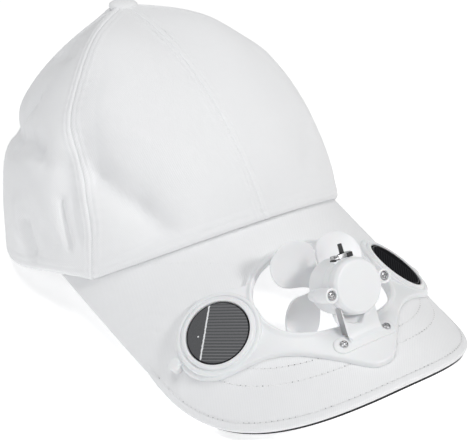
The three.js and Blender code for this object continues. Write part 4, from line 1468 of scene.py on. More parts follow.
@dataclass
class Peak:
    """The stiff cloth covered peak, its rows of stitches and the black tape under its edge."""

    form: PeakForm
    hole: HoleForm
    finishes: Finishes
    columns: int = 420
    top_steps: int = 48
    edge_steps: int = 8
    under_steps: int = 22
    margin: float = 1.2
    rows: tuple = (4.0, 20.0, 28.0)
    edge_row_depth: float = 0.24
    row_depth: float = 0.16
    edge_roll: float = 0.22
    ripple: float = 0.05
    tape_depth: float = 4.2
    tape_thickness: float = 1.3
    tape_reach: float = 82.0
    tape_outset: float = 0.5
    tape_overlap: float = 0.1
    stitch_sink: float = 0.08
    weave_step: float = 0.21

    def build(self) -> None:
        """Builds and dresses everything."""
        self.board()
        self.stitches()
        self.tape()

    def section(self) -> list[tuple[float, float, float]]:
        """The board's section, round from the upper edge of the hole and back.

        Returns:
            For each point the share of the way out, an inset and the height over the upper face.
        """
        board = self.form.board
        half = board / 2
        outward = 1 - (1 - np.linspace(0, 1, self.top_steps + 1)) ** 1.6
        section = [(share, -half * share, 0.0) for share in outward]
        for t in np.linspace(0, math.pi, self.edge_steps + 1)[1:]:
            section.append((1.0, -half + half * math.sin(t), -half + half * math.cos(t)))
        for t in np.linspace(1, 0, self.under_steps + 1)[1:]:
            section.append((t, -half * t, -board))
        section += [(0.0, 0.0, -board * s) for s in (0.75, 0.5, 0.25)]
        return [*section, section[0]]

    def board(self) -> None:
        """The board, as a closed ring round the hole."""
        form = self.form
        arc, station = form.outline(self.columns)
        run = distances(np.stack([arc, station], axis=-1))
        section = self.section()
        bm, u, v = grid(self.columns, len(section) - 1)
        outer_arc = np.interp(u * run[-1], run, arc)
        outer_station = np.interp(u * run[-1], run, station)
        plan = form.radius * np.sin(outer_arc / form.radius)
        angle = np.unwrap(np.arctan2(self.hole.station - outer_station, plan * 0.9))
        inner_x, inner_y = self.hole.rim(angle, self.margin)
        inner_arc = form.radius * np.arcsin(inner_x / form.radius)
        inner_station = -inner_y
        reach = np.hypot(outer_arc - inner_arc, outer_station - inner_station)
        share, inset, height = section_at(section, v)
        along = share + inset / reach
        here_arc = inner_arc + (outer_arc - inner_arc) * along
        here_station = inner_station + (outer_station - inner_station) * along
        free = self.from_free_edge(here_arc, here_station)
        sewn = self.edge_roll * plateau(free, (0.2, 1.4), (3.2, 4.2))
        sewn -= self.edge_row_depth * bump(free, self.rows[0], 0.7)
        sewn -= self.row_depth * (bump(free, self.rows[1], 0.8) + bump(free, self.rows[2], 0.8))
        wander = np.sin(here_arc / 6.1 + 1.3 * np.sin(here_station / 9))
        sewn += self.ripple * wander * np.sin(here_station / 7.3)
        upper = (height > -0.4 * form.board) * (share > 0.02)
        points = form.on(here_arc, here_station, height + sewn * upper)
        below = height < -form.board / 2
        lengthwise = here_station * MM + below * self.weave_step
        shape_grid(bm, points, np.stack([here_arc * MM, lengthwise], axis=-1))
        Piece("peak_cloth", self.finishes.cloth, "cloth", nodes=("peak",)).build(sealed(bm, 0.01))

    def from_free_edge(self, arc: np.ndarray, station: np.ndarray) -> np.ndarray:
        """Distance of each place from the front edge of the board.

        Args:
            arc: The places' arc.
            station: The places' station.

        Returns:
            The distances in millimetres.
        """
        form = self.form
        nearest = np.full(arc.shape, 1e9)
        for a, s in zip(*form.both_halves(*form.front_edge(form.edge_shares(160)))):
            nearest = np.minimum(nearest, np.hypot(arc - a, station - s))
        return nearest

    def stitches(self) -> None:
        """The rows along the front edge."""
        seams = Stitching()
        row = StitchRow()
        for inset in self.rows:
            last = 0.97 if inset < 10 else 0.9
            half = self.form.front_edge(last * np.linspace(0, 1, 220) ** 0.8, inset)
            arc, station = self.form.both_halves(*half)
            row.sew(seams, self.form.on(arc, station, -self.stitch_sink), self.form.normal(arc))
        seams.build("peak", self.finishes)

    def tape(self) -> None:
        """The black tape, swept along the edge under the board."""
        form = self.form
        bm, u, v = grid(240, 12)
        reach = math.asin((self.tape_reach / form.shoulder_arc) ** (form.front_power / 2)) * 2 / math.pi
        share = (2 * u - 1) * reach
        deep, high = section_at(rounded([(0.3, 0, 0.5), (0.0, -0.45, 0.4), (0.3, -1, 0.5), (1.0, -0.9, 0.3),
                                         (1.0, 0, 0.3), (0.3, 0, 0)], 2), v)
        depth = deep * self.tape_depth - self.tape_outset
        height = high * self.tape_thickness
        arc, station = form.front_edge(np.abs(share))
        inner_arc, inner_station = form.front_edge(np.abs(share), 1.0)
        arc = np.sign(share) * (arc + (inner_arc - arc) * depth)
        station = station + (inner_station - station) * depth
        thin = ease(1 - np.abs(share) / reach, 0, 0.1)
        points = form.on(arc, station, self.tape_overlap - form.board + height * (0.25 + 0.75 * thin))
        shape_grid(bm, points, np.stack([share * 0.18, depth * MM], axis=-1))
        sealed(bm, 0.005, ends=True)
        Piece("peak_tape", self.finishes.tape, "trim", nodes=("peak_trim",)).build(bm)


@dataclass
class FanFrame:
    """The white moulding on the peak: a plate round the hole, a bead and two seats for the solar cells.

    The front edge is a chain of plan points from the hole's middle, and it is smoothed and mirrored.
    """

    form: PeakForm
    hole: HoleForm
    finishes: Finishes
    plate: float = FRAME_TOP
    bead: float = 0.7
    bead_width: float = 2.4
    ring: float = 3.4
    nose_skew: float = -2.8
    nose_fade: tuple = (28.0, 58.0)
    nose_rear: float = -8.0
    front_edge: tuple = (
        (0.0, -51.6), (4.0, -51.2), (7.0, -49.5), (10.0, -46.6), (13.4, -42.9), (17.9, -38.1),
        (22.5, -33.2), (27.1, -28.6), (32.0, -24.5), (37.8, -20.9), (44.2, -18.3), (50.5, -16.5),
        (57.0, -14.0), (62.5, -10.2),
    )
    lobe_rear: float = 0.9
    rear_side: tuple = (0.98, 0.42)
    rear_middle: float = 10.0
    columns: int = 720
    middle_rows: int = 7
    least_width: float = 0.1
    cell_radius: float = 15.5
    cell_arc: float = 54.4
    cell_station: float = 44.8
    cell_top: float = 3.1
    cell_thickness: float = 1.5
    lobe_radius: float = 21.0
    lobe_height: float = 3.7
    lobe_step: float = 0.9
    lobe_overlap: float = 0.4
    seat_depth: float = 1.5
    seat_clearance: float = 0.3
    nub_radius: float = 3.6
    nub_height: float = 1.7
    nub_reach: float = 24.5
    nub_back: float = 3.0

    def build(self) -> None:
        """Builds and dresses everything."""
        parts = [self.plate_mesh()]
        for side in Side:
            parts += [self.lobe(side), self.nub(side)]
        Piece("fan_frame_moulding", self.finishes.moulding, "moulding", nodes=("fan_frame",)).build(
            gather(parts), sharp=50)
        for side in Side:
            self.cell(side)

    def stand(self, side: Side) -> Matrix:
        """The matrix that stands a piece square on the peak at a cell's place.

        Args:
            side: The cell's side.

        Returns:
            The matrix.
        """
        turn = side.value * self.cell_arc / self.form.radius
        spot = self.form.on(side.value * self.cell_arc, self.cell_station, 0.0)
        tilt = Matrix.Rotation(self.form.pitch, 4, "X") @ Matrix.Rotation(turn, 4, "Y")
        return Matrix.Translation(Vector(spot)) @ tilt

    def outline(self, angle: np.ndarray) -> np.ndarray:
        """How far the plate reaches in each direction from the middle of the hole, in plan.

        Args:
            angle: Directions in radians.

        Returns:
            The reach in millimetres.
        """
        row = self.hole.station - self.cell_station
        lobe_x = self.form.radius * math.sin(self.cell_arc / self.form.radius)
        narrow = math.cos(self.cell_arc / self.form.radius)
        half = np.array([
            *self.front_edge,
            (lobe_x, 0.0),
            (lobe_x, row + self.lobe_rear * self.lobe_radius),
            (self.hole.half_width * self.rear_side[0], row + self.hole.half_length * self.rear_side[1]),
            (0.0, self.rear_middle),
        ])
        whole = np.concatenate([half[:0:-1] * (-1, 1), half])
        nose = (1 - ease(np.abs(whole[:, 0]), *self.nose_fade)) * (whole[:, 1] < self.nose_rear)
        whole[:, 0] += self.nose_skew * nose
        chain = self.smoothed(whole)
        x, y = self.hole.rim(angle, self.ring)
        reach = np.maximum(self.polygon_reach(chain, angle), np.hypot(x, y + self.hole.station))
        turn = np.linspace(0, 2 * math.pi, 90)
        radius = self.lobe_radius + self.lobe_overlap
        for side in Side:
            seat = np.stack([side.value * lobe_x + radius * narrow * np.cos(turn),
                             row + radius * np.sin(turn)], axis=-1)
            reach = np.maximum(reach, self.polygon_reach(seat, angle))
        return reach

    @staticmethod
    def smoothed(chain: np.ndarray, steps: int = 7) -> np.ndarray:
        """A smooth curve through a chain of points.

        Args:
            chain: The points.
            steps: Points from one to the next.

        Returns:
            The curve's points.
        """
        padded = np.concatenate([chain[:1], chain, chain[-1:]])
        t = np.linspace(0, 1, steps, endpoint=False)[:, None]
        pieces = [0.5 * (2 * b + (c - a) * t + (2 * a - 5 * b + 4 * c - d) * t ** 2
                         + (3 * b - a - 3 * c + d) * t ** 3)
                  for a, b, c, d in zip(padded, padded[1:], padded[2:], padded[3:])]
        return np.concatenate(pieces)

    @staticmethod
    def polygon_reach(chain: np.ndarray, angle: np.ndarray) -> np.ndarray:
        """The furthest crossing of each direction with a chain of points.

        Args:
            chain: The points.
            angle: Directions in radians.

        Returns:
            The distances in millimetres, or 0 where the chain isn't crossed.
        """
        reach = np.zeros_like(angle)
        cos, sin = np.cos(angle), np.sin(angle)
        for (ax, ay), (bx, by) in zip(chain, chain[1:]):
            dx, dy = bx - ax, by - ay
            det = cos * dy - sin * dx
            safe = np.where(np.abs(det) < 1e-9, 1e-9, det)
            distance = (ax * dy - ay * dx) / safe
            along = (ax * sin - ay * cos) / safe
            hit = (distance > 0) & (along >= -0.001) & (along <= 1.001) & (np.abs(det) > 1e-9)
            reach = np.where(hit, np.maximum(reach, distance), reach)
        return reach

    def bead_section(self) -> list[tuple[float, float]]:
        """The bead from the hole's wall outwards: distance from the wall and height over the cloth.

        Returns:
            The points.
        """
        plate, width, top = self.plate, self.bead_width, self.plate + self.bead
        return [(0.0, 0.1), (0.0, top * 0.5), (0.0, top - 0.7), (0.12, top - 0.3), (0.45, top - 0.05),
                (0.95, top), (1.5, top - 0.02), (width - 0.7, top - 0.12), (width - 0.35, top - 0.35),
                (width - 0.1, plate + 0.25), (width + 0.35, plate + 0.04), (width + 0.9, plate)]

    def edge_section(self) -> list[tuple[float, float]]:
        """The plate's rounded edge, outwards and down: distance from the outline and height.

        Returns:
            The points.
        """
        plate = self.plate
        return [(-1.9, plate), (-1.35, plate - 0.04), (-0.9, plate - 0.22), (-0.55, plate - 0.6),
                (-0.35, plate - 1.1), (-0.1, plate * 0.3), (0.0, 0.1)]

    def evened_outline(self, angle: np.ndarray) -> np.ndarray:
        """The outline's reach in each direction, evened out over neighbouring columns.

        Args:
            angle: Directions in radians.

        Returns:
            The reach in millimetres.
        """
        ring = np.linspace(0, 2 * math.pi, self.columns + 1)
        reach = self.outline(ring)
        closed = np.concatenate([reach[-3:-1], reach, reach[1:3]])
        return np.interp(angle, ring, np.convolve(closed, np.array([1, 2, 3, 2, 1]) / 9, "valid"))

    def plate_mesh(self) -> bmesh.types.BMesh:
        """The plate with its rounded edge, and the bead round the hole.

        Returns:
            The mesh, in its place on the peak.
        """
        bead, edge = self.bead_section(), self.edge_section()
        rows = len(bead) + self.middle_rows + len(edge)
        bm, u, v = grid(self.columns, rows)
        angle = u * 2 * math.pi
        inner_x, inner_y = self.hole.rim(angle)
        inner = np.hypot(inner_x, inner_y + self.hole.station)
        outer = self.evened_outline(angle)
        bead_foot = inner + bead[-1][0]
        edge_start = np.maximum(outer + edge[0][0], bead_foot + self.least_width)
        rings = [(inner + offset, height) for offset, height in bead]
        for k in range(self.middle_rows):
            share = (k + 1) / (self.middle_rows + 1)
            rings.append((bead_foot + (edge_start - bead_foot) * share, self.plate))
        rings += [(np.maximum(outer + offset, bead_foot + self.least_width), height)
                  for offset, height in edge]
        rings.append((inner, bead[0][1]))
        row = np.rint(v * rows).astype(int)
        reach = np.stack([ring[0] for ring in rings])[row, np.arange(len(row))]
        heights = np.array([ring[1] for ring in rings])[row]
        x, y = reach * np.cos(angle), reach * np.sin(angle) - self.hole.station
        shape_grid(bm, self.form.over_plan(x, y, heights), np.stack([x * MM, y * MM], axis=-1))
        return sealed(bm, 0.002)

    def sink(self, bm: bmesh.types.BMesh, floor: float = 0.12) -> None:
        """Drops the lowest loops of a standing mesh onto the curved cloth.

        Args:
            bm: The mesh, before it is placed.
            floor: Its height over the cloth.
        """
        for vert in bm.verts:
            if vert.co.z < 0.5:
                drop = math.sqrt(max(self.form.radius ** 2 - vert.co.x ** 2, 1)) - self.form.radius
                vert.co.z = drop + floor + vert.co.z * 0.1

    def lobe(self, side: Side) -> bmesh.types.BMesh:
        """One round seat: an outer wall, a step and a raised ring round the cell.

        Args:
            side: The cell's side.

        Returns:
            The mesh, in its place on the peak.
        """
        top, low = self.lobe_height, self.lobe_height - self.lobe_step
        inner, seat = self.cell_radius + self.seat_clearance, self.lobe_height - self.seat_depth
        profile = rounded([
            (0, 0.0, 0), (self.lobe_radius, 0.0, 0), (self.lobe_radius - 0.3, low, 1.1),
            (inner + 3.2, low, 0.5), (inner + 2.9, low - 0.55, 0.3), (inner + 2.3, low - 0.5, 0.3),
            (inner + 1.9, top, 0.7), (inner, top, 0.55), (inner, seat, 0.2), (0, seat, 0),
        ], 4)
        bm = lathe(profile, 120)
        self.sink(bm)
        return moved(bm, self.stand(side))

    def nub(self, side: Side) -> bmesh.types.BMesh:
        """The small lug on the outside of a seat.

        Args:
            side: The cell's side.

        Returns:
            The mesh, in its place on the peak.
        """
        radius, height = self.nub_radius, self.nub_height
        bm = drum(radius - 0.8, 0.0, height, 0.7, 40, foot=radius)
        neck = block((-self.nub_reach + self.lobe_radius - 4, -radius * 0.8, 0.0),
                     (0, radius * 0.8, height - 0.2), 0.5)
        if side is Side.RIGHT:
            bmesh.ops.scale(neck, vec=(-1, 1, 1), verts=neck.verts)
            bmesh.ops.reverse_faces(neck, faces=neck.faces)
        whole = gather([bm, neck])
        bmesh.ops.translate(whole, vec=(side.value * self.nub_reach, self.nub_back, 0), verts=whole.verts)
        self.sink(whole)
        return moved(whole, self.stand(side))

    def cell(self, side: Side) -> None:
        """One solar cell with a soft resin edge.

        Args:
            side: The cell's side.
        """
        radius, top = self.cell_radius, self.cell_top
        low = top - self.cell_thickness
        bm = lathe(rounded([(0, low, 0), (radius, low, 0.2), (radius, top, 0.45), (0, top, 0)], 4), 96)
        map_points(bm, lambda vert: (vert.co.x * side.value, -vert.co.y))
        name = f"solar_cell_{side.word}"
        Piece(name + "_resin", self.finishes.cells[side], "cell", nodes=(name,)).build(
            moved(bm, self.stand(side)), sharp=40)


@dataclass
class Screw:
    """A small round head screw with a cross recess."""

    radius: float = 1.95
    height: float = 1.0
    shank_radius: float = 0.9
    shank_length: float = 1.2
    cross_half_width: float = 0.34
    cross_depth: float = 0.45

    def build(self) -> bmesh.types.BMesh:
        """The head along Z with its underside at 0.

        Returns:
            The mesh.
        """
        r, h, shank, end = self.radius, self.height, self.shank_radius, -self.shank_length
        head = lathe(rounded([(0, end, 0), (shank, end, 0.1), (shank, 0, 0), (r, 0, 0.15),
                              (r * 0.93, h * 0.62, 0.3), (r * 0.66, h, 0.3), (0.75, h, 0.1),
                              (0.55, h * 0.35, 0.1), (0, h * 0.3, 0)], 3), 40)
        for vert in head.verts:
            x, y, z = vert.co
            on_top = z > h * 0.9 and math.hypot(x, y) < r * 0.7
            if on_top and min(abs(x), abs(y)) < self.cross_half_width:
                vert.co.z = z - self.cross_depth
        return head


@dataclass
class MotorAndFan:
    """The motor in its housing, the switch, the bracket under it and the fan behind it.

    Its own frame has X across, Z forward along the axis and the fan's hub at the origin.
    """

    form: PeakForm
    hole: HoleForm
    finishes: Finishes
    rise: float = math.radians(30)
    hub_height: float = 0.4
    radius: float = 13.0
    front: float = 30.0
    split: float = 19.5
    split_gap: float = 0.35
    collar_depth: float = 0.55
    rear: float = 5.6
    ear_offset: float = 14.9
    ear_radius: float = 3.5
    ear_seat: float = 28.2
    screw_lift: float = 0.25
    ear_front: float = 29.4
    web_length: float = 5.0
    web_half_height: float = 2.6
    boss_length: float = 7.0
    fan_radius: float = 29.8
    fan_hub: float = 5.2
    fan_hub_length: float = 8.0
    shaft_radius: float = 0.98
    shaft_start: float = -1.5
    shaft_in_motor: float = 3.5
    blades: int = 4
    blade_half_width: float = 12.2
    blade_pitch: float = math.radians(-18)
    blade_setback: float = 2.0
    blade_widest: float = 0.67
    blade_root: float = 0.6
    blade_tip: float = 0.985
    blade_narrowest: float = 0.14
    blade_root_width: float = 0.3
    blade_tip_bow: float = 0.6
    blade_lift: float = 0.55
    blade_camber: float = 0.7
    blade_thickness: float = 1.1
    blade_edge: float = 0.3
    first_blade: float = math.radians(38.6)
    switch_length: float = 9.4
    switch_width: float = 3.6
    switch_middle: float = 21.6
    switch_low: float = 13.1
    switch_height: float = 2.0
    switch_seat_margin: float = 1.1
    lever_offset: float = 0.9
    lever_half_width: float = 1.0
    lever_half_depth: float = 0.7
    lever_height: float = 4.5
    lever_taper: float = 0.12
    foot_middle: float = -2.0
    foot_half_width: float = 11.7
    foot_along: float = -35.2
    foot_radius: float = 4.7
    foot_top: float = 3.3
    pedestal_right: float = -11.0
    pedestal_left: float = 7.4
    pedestal_front: float = 26.7
    pedestal_rear: float = 22.4
    pedestal_gap: float = 0.15
    slot_radius: float = 16.7
    slot_depth: float = 2.6
    slot_start: tuple = (-10.6, -10.0)
    slot_end: tuple = (-2.5, 1.5)

    @property
    def matrix(self) -> Matrix:
        """Places the motor's own frame in the hat."""
        hub = self.form.to_hat(np.array([0.0, -self.hole.station, self.hub_height]))
        return Matrix.Translation(Vector(hub)) @ Matrix.Rotation(math.pi / 2 - self.rise, 4, "X")

    def build(self) -> None:
        """Builds and dresses everything."""
        self.shell()
        self.cap()
        self.switch()
        self.screws()
        self.bracket()
        self.fan()

    def piece(self, name: str, parts: list[bmesh.types.BMesh], finish: bpy.types.Material, slot: str,
              body: str, nodes: tuple, sharp: float = 45) -> None:
        """Places parts of the motor in the hat as one piece."""
        Piece(name, finish, slot, body, nodes).build(moved(gather(parts), self.matrix), sharp=sharp)

    def at_ear(self, bm: bmesh.types.BMesh, side: Side, height: float = 0.0) -> bmesh.types.BMesh:
        """Moves a mesh from the axis to the ear on one side, and up by a height."""
        return moved(bm, Matrix.Translation((side.value * self.ear_offset, 0, height)))

    def shell(self) -> None:
        """The rear cup, with a tapered boss behind each ear."""
        r, rear, split = self.radius, self.rear, self.split
        profile = rounded([(0, rear + 3, 0), (1.3, rear + 3, 0), (1.3, rear, 0.1), (2.6, rear, 0.2),
                           (2.9, rear + 0.4, 0.2), (r, rear + 0.4, 3.6), (r, split - 0.1, 0.35),
                           (r - 0.6, split + 0.25, 0.1), (0, split + 0.25, 0)], 6)
        parts = [lathe(profile, 96)]
        for side in Side:
            boss = drum(self.ear_radius, split - self.boss_length, split - 0.1, 1.4, 40, foot=2.4)
            parts.append(self.at_ear(boss, side))
        self.piece("motor_shell_moulding", parts, self.finishes.moulding, "moulding", "cap",
                   ("motor_shell",))

    def cap(self) -> None:
        """The front cap with its collar, face, ears and the switch's seat."""
        r, low, front = self.radius, self.split + self.split_gap, self.front
        neck = r - self.collar_depth
        profile = rounded([
            (0, low, 0), (r, low, 0.35), (r, low + 3.9, 0.25), (neck, low + 4.1, 0.1),
            (neck, low + 4.5, 0.1), (r, low + 4.8, 0.25), (r, front - 1.9, 0.9),
            (r - 1.25, front - 0.15, 0.5), (r - 1.9, front, 0.3), (0, front, 0)], 6)
        parts = [lathe(profile, 96)]
        for side in Side:
            radius, top, seat = self.ear_radius, self.ear_front, self.ear_seat
            ear = lathe(rounded([(0, low, 0), (radius, low, 0.5), (radius, top, 0.7), (2.35, top, 0.25),
                                 (2.2, seat, 0.15), (0, seat, 0)], 4), 48)
            parts.append(self.at_ear(ear, side))
            ends = sorted(side.value * (self.ear_offset - reach) for reach in (0, self.web_length))
            tall = self.web_half_height
            parts.append(block((ends[0], -tall, low + 0.2), (ends[1], tall, seat - 0.4), 0.6))
        reach = self.switch_length / 2 + self.switch_seat_margin
        parts.append(block((-reach, 6, low + 0.1),
                           (reach, self.switch_low - 0.2, self.switch_middle + 2.1), 0.45))
        self.piece("motor_cap_moulding", parts, self.finishes.moulding, "moulding", "cap", ("motor_cap",))

    def switch(self) -> None:
        """The switch: a folded metal frame with end tabs, and the black lever in its slot."""
        half, low = self.switch_length / 2, self.switch_low
        top = low + self.switch_height
        middle, deep = self.switch_middle, self.switch_width / 2
        rear, front = middle - deep, middle + deep
        rails = [
            ((-half, low, rear), (half, top - 0.9, front), 0.2),
            ((-half, top - 1.2, rear), (half, top, rear + 0.75), 0.15),
            ((-half, top - 1.2, front - 0.75), (half, top, front), 0.15),
            ((-half, top - 1.2, rear), (-2.3, top, front), 0.15),
            ((2.3, top - 1.2, rear), (half, top, front), 0.15),
            ((-2.4, low - 1.6, front - 0.3), (1.2, top - 0.5, front + 0.15), 0.1),
        ]
        tabs = [
            ((-half - 0.9, low - 1.4, rear + 0.4), (-half + 0.5, low + 0.5, front + 0.2), 0.25),
            ((half - 2.6, low - 0.5, front - 0.5), (half + 0.5, top - 0.35, front + 0.3), 0.2),
        ]
        black, steel = self.finishes.black, self.finishes.steel
        self.piece("switch_tabs_black", [block(*tab) for tab in tabs], black, "lever", "cap", ())
        self.piece("switch_frame", [block(*rail) for rail in rails], steel, "steel", "cap", ("switch_body",))
        wide, thick, place = self.lever_half_width, self.lever_half_depth, self.lever_offset
        lever = block((place - wide, top - 1.1, middle - thick),
                      (place + wide, top + self.lever_height, middle + thick), 0.3)
        for vert in lever.verts:
            if vert.co.y > top + 1:
                vert.co.x += (place - vert.co.x) * self.lever_taper
        self.piece("switch_lever_black", [lever], black, "lever", "lever", ("switch_lever",))

    def screws(self) -> None:
        """The two screws of the cap."""
        for side in Side:
            head = self.at_ear(Screw().build(), side, self.ear_seat + self.screw_lift)
            name = f"motor_screw_{side.word}"
            self.piece(name + "_cross", [head], self.finishes.steel, "steel", "cap", (name,), 35)

    def on_plate(self, x: np.ndarray, y: np.ndarray, height: np.ndarray) -> np.ndarray:
        """Points in the hat from their plan from the hole's middle and their height over the cloth."""
        return self.form.over_plan(x, y - self.hole.station, height)

    def bracket(self) -> None:
        """The bracket, a foot on the frame's nose with a pedestal up to the motor, and its two screws."""
        Piece("motor_bracket_moulding", self.finishes.moulding, "moulding", nodes=("motor_bracket",)).build(
            gather([self.foot(), self.pedestal()]), sharp=42)
        for side in Side:
            x = self.foot_middle + side.value * self.foot_half_width
            spot = self.on_plate(np.array(x), np.array(self.foot_along), np.array(self.foot_top + 0.05))
            turn = math.asin(x / self.form.radius)
            tilt = Matrix.Rotation(self.form.pitch, 4, "X") @ Matrix.Rotation(turn, 4, "Y")
            place = Matrix.Translation(Vector(spot)) @ tilt
            name = f"bracket_screw_{side.word}"
            Piece(name + "_cross", self.finishes.steel, "steel", nodes=(name,)).build(
                moved(Screw().build(), place), sharp=35)

    def foot(self) -> bmesh.types.BMesh:
        """The foot: a low plate with a round end about each screw, as rings that close at its middle.

        Returns:
            The mesh, in its place on the frame.
        """
        bm, u, v = grid(96, 10)
        turn = u * 2 * math.pi
        share, drop = section_at([
            (0.0, 0.0), (0.5, 0.0), (0.8, 0.0), (0.93, 0.0), (0.965, -0.06), (0.99, -0.22),
            (1.0, -0.5), (1.0, -0.9), (1.0, -1.3), (0.5, -1.3), (0.0, -1.3)], v)
        centre = np.sign(np.cos(turn)) * self.foot_half_width * ease(np.abs(np.cos(turn)), 0, 0.55)
        x = self.foot_middle + (centre + self.foot_radius * np.cos(turn)) * share
        y = self.foot_along + self.foot_radius * np.sin(turn) * share
        shape_grid(bm, self.on_plate(x, y, self.foot_top + drop), np.stack([x * MM, y * MM], axis=-1))
        return sealed(bm, 0.002)

    def pedestal(self) -> bmesh.types.BMesh:
        """The pedestal: a thick wall square to the motor's axis, under the cap, with a slot at its top.

        Returns:
            The mesh, in its place on the frame.
        """
        bm, u, v = grid(88, 40)
        x = self.pedestal_right + (self.pedestal_left - self.pedestal_right) * u
        tilt = math.pi / 2 - self.rise - self.form.pitch
        front, rear = self.pedestal_front, self.pedestal_rear
        hug = -np.sqrt((self.radius + self.pedestal_gap) ** 2 - x * x)
        slot = plateau(x, self.slot_start, self.slot_end)
        lip = hug * (1 - slot) - np.sqrt(self.slot_radius ** 2 - x * x) * slot
        sag = x * x / (2 * self.form.radius)

        def floor(along: float, over: float) -> tuple[np.ndarray, np.ndarray]:
            """A section point at a height over the frame's plate."""
            level = FRAME_TOP + over - self.hub_height - sag - along * math.cos(tilt)
            return level / math.sin(tilt), np.full_like(x, along)

        def plain(rise: np.ndarray, along: np.ndarray | float) -> tuple[np.ndarray, np.ndarray]:
            """A section point at a height in the motor's frame."""
            return rise, np.broadcast_to(along, x.shape)

        section = [
            floor(front + 1.9, -0.6), floor(front + 1.3, 0.72), floor(front + 0.55, 1.25),
            floor(front + 0.1, 2.4), plain(lip - 0.5, front), plain(lip - 0.05, front - 0.4),
            plain(lip, front - 0.8 - self.slot_depth * slot),
            plain(hug, rear + 0.5), plain(hug - 0.3, rear), floor(rear, 1.0), floor(rear, -1.0),
        ]
        at = v * (len(section) - 1)
        low = np.minimum(at.astype(int), len(section) - 2)
        part = at - low
        rise, along = (np.stack([point[k] for point in section]) for k in (0, 1))
        pick = np.arange(len(x))
        points = np.stack([
            x,
            rise[low, pick] * (1 - part) + rise[low + 1, pick] * part,
            along[low, pick] * (1 - part) + along[low + 1, pick] * part,
        ], axis=-1)
        shape_grid(bm, points, np.stack([u, v], axis=-1))
        return moved(sealed(bm, ends=True), self.matrix)

    def blade(self, turn: float) -> bmesh.types.BMesh:
        """One paddle blade, out from the hub along a turn about the axis.

        Args:
            turn: The turn in radians.

        Returns:
            The mesh, in the motor's frame.
        """
        bm, u, v = grid(30, 22)
        root, widest = self.fan_hub * self.blade_root, self.fan_radius * self.blade_widest
        cos, sin = math.cos(self.blade_pitch), math.sin(self.blade_pitch)
        out = np.array((math.cos(turn), math.sin(turn), 0.0))
        around = np.array((-math.sin(turn), math.cos(turn), 0.0))
        axis = np.array((0.0, 0.0, 1.0))
        radius = root + (self.fan_radius * self.blade_tip - root) * (1 - (1 - u) ** 1.5)
        tip = np.clip(radius - widest, 0, None) / (self.fan_radius - widest)
        narrow = np.maximum(np.sqrt(1 - tip * tip), self.blade_narrowest)
        opened = ease(radius, root, widest)
        width = self.blade_root_width + (1 - self.blade_root_width) * opened
        half = self.blade_half_width * narrow * width
        chord = around * cos + axis * sin
        face = axis * cos - around * sin
        across = half * (2 * v - 1)
        reach = np.sqrt(radius ** 2 - self.blade_tip_bow * (across * cos) ** 2)
        lift = self.blade_lift + self.blade_camber * (1 - (2 * v - 1) ** 2) * opened
        points = out * reach[:, None] + chord * across[:, None] + face * lift[:, None]
        points[:, 2] -= self.blade_setback
        shape_grid(bm, points, np.stack([u, v], axis=-1))
        bmesh.ops.solidify(sealed(bm), geom=bm.faces[:], thickness=self.blade_thickness)
        sealed(bm)
        rim = [edge for edge in bm.edges if len(edge.link_faces) == 2
               and edge.calc_face_angle(0) > math.radians(50)]
        bmesh.ops.bevel(bm, geom=rim, offset=self.blade_edge, segments=2, profile=0.5, affect="EDGES",
                        material=-1)
        return bm

    def fan(self) -> None:
        """The fan with its hub, and the steel shaft."""
        half, r = self.fan_hub_length / 2, self.fan_hub
        hub = lathe(rounded([(0, -half, 0), (r, -half, 1.3), (r, half, 0.5), (1.5, half, 0.2),
                             (1.3, half - 1.5, 0), (0, half - 1.5, 0)], 5), 56)
        step = 2 * math.pi / self.blades
        parts = [hub, *(self.blade(self.first_blade + k * step) for k in range(self.blades))]
        self.piece("fan_moulding", parts, self.finishes.moulding, "moulding", "fan", ("fan",), 60)
        shaft = drum(self.shaft_radius, self.shaft_start, self.rear + self.shaft_in_motor, 0.2, 32)
        self.piece("motor_shaft_steel", [shaft], self.finishes.steel, "steel", "fan", ("motor_shaft",))


@dataclass(frozen=True)
class Lamp:
    """A square area light that shines on the hat."""

    name: str
    place: tuple
    size: float
    power: float
    tint: tuple
    aim: tuple = (0.0, 0.0, 0.05)

    def hang(self) -> None:
        """Puts the light in its place."""
        data = bpy.data.lights.new(self.name, "AREA")
        data.energy = self.power
        data.size = self.size
        data.color = self.tint
        light = in_scene(self.name, data)
        light.location = self.place
        light.rotation_euler = (Vector(self.aim) - Vector(self.place)).to_track_quat("-Z", "Y").to_euler()


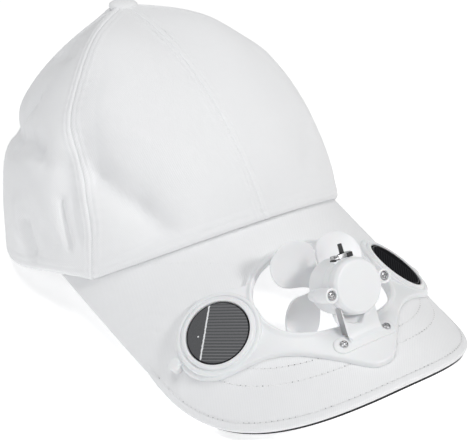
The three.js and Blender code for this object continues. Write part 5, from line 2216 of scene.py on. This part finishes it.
@dataclass
class Studio:
    """Floor, lights and the camera at the photograph's angle."""

    camera_place: tuple = (-0.2582, -0.4131, 0.3185)
    camera_aim: tuple = (0.0, -0.01404, 0.0418)
    lens: float = 80.2
    sensor: float = 36.0
    floor_size: float = 6.0
    surround: float = 0.19
    lamps: tuple = (
        Lamp("key", (0.50, -1.12, 1.02), 0.26, 9.0, (1, 0.995, 0.985)),
        Lamp("fill", (-1.2, -0.35, 0.85), 0.9, 5.4, (0.97, 0.985, 1)),
        Lamp("top", (0.0, 0.15, 1.5), 0.8, 7.6, (1, 1, 1)),
    )

    def build(self) -> None:
        """Sets the scene."""
        self.camera()
        self.floor()
        self.lights()

    def camera(self) -> None:
        """The camera, looking at the middle of the photograph's frame."""
        data = bpy.data.cameras.new("camera")
        data.lens = self.lens
        data.sensor_width = self.sensor
        camera = in_scene("camera", data)
        camera.location = self.camera_place
        look = Vector(self.camera_aim) - Vector(self.camera_place)
        camera.rotation_mode = "QUATERNION"
        camera.rotation_quaternion = look.to_track_quat("-Z", "Y")
        bpy.context.scene.camera = camera

    def floor(self) -> None:
        """A wide pale floor."""
        bm = bmesh.new()
        bmesh.ops.create_grid(bm, x_segments=2, y_segments=2, size=self.floor_size)
        floor = in_scene("floor", as_mesh(bm, "floor"))
        floor.data.materials.append(PaleFloor().dress())

    def lights(self) -> None:
        """A small key from the front left, a soft fill from the right, a light from above and a surround."""
        for lamp in self.lamps:
            lamp.hang()
        world = bpy.data.worlds.new("surround")
        world.use_nodes = True
        backdrop = world.node_tree.nodes["Background"]
        backdrop.inputs["Color"].default_value = (1, 1, 1, 1)
        backdrop.inputs["Strength"].default_value = self.surround
        bpy.context.scene.world = world
        bpy.context.scene.view_settings.view_transform = "Standard"


def main() -> None:
    """Builds the hat piece by piece."""
    logging.basicConfig(level=logging.INFO, format="%(name)s: %(message)s")
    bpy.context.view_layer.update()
    Studio().build()
    finishes = Finishes()
    peak_form = PeakForm()
    hole = HoleForm()
    Crown(CrownForm(peak_form), finishes).build()
    Peak(peak_form, hole, finishes).build()
    FanFrame(peak_form, hole, finishes).build()
    MotorAndFan(peak_form, hole, finishes).build()
    bpy.context.view_layer.update()


if __name__ == "__main__":
    main()
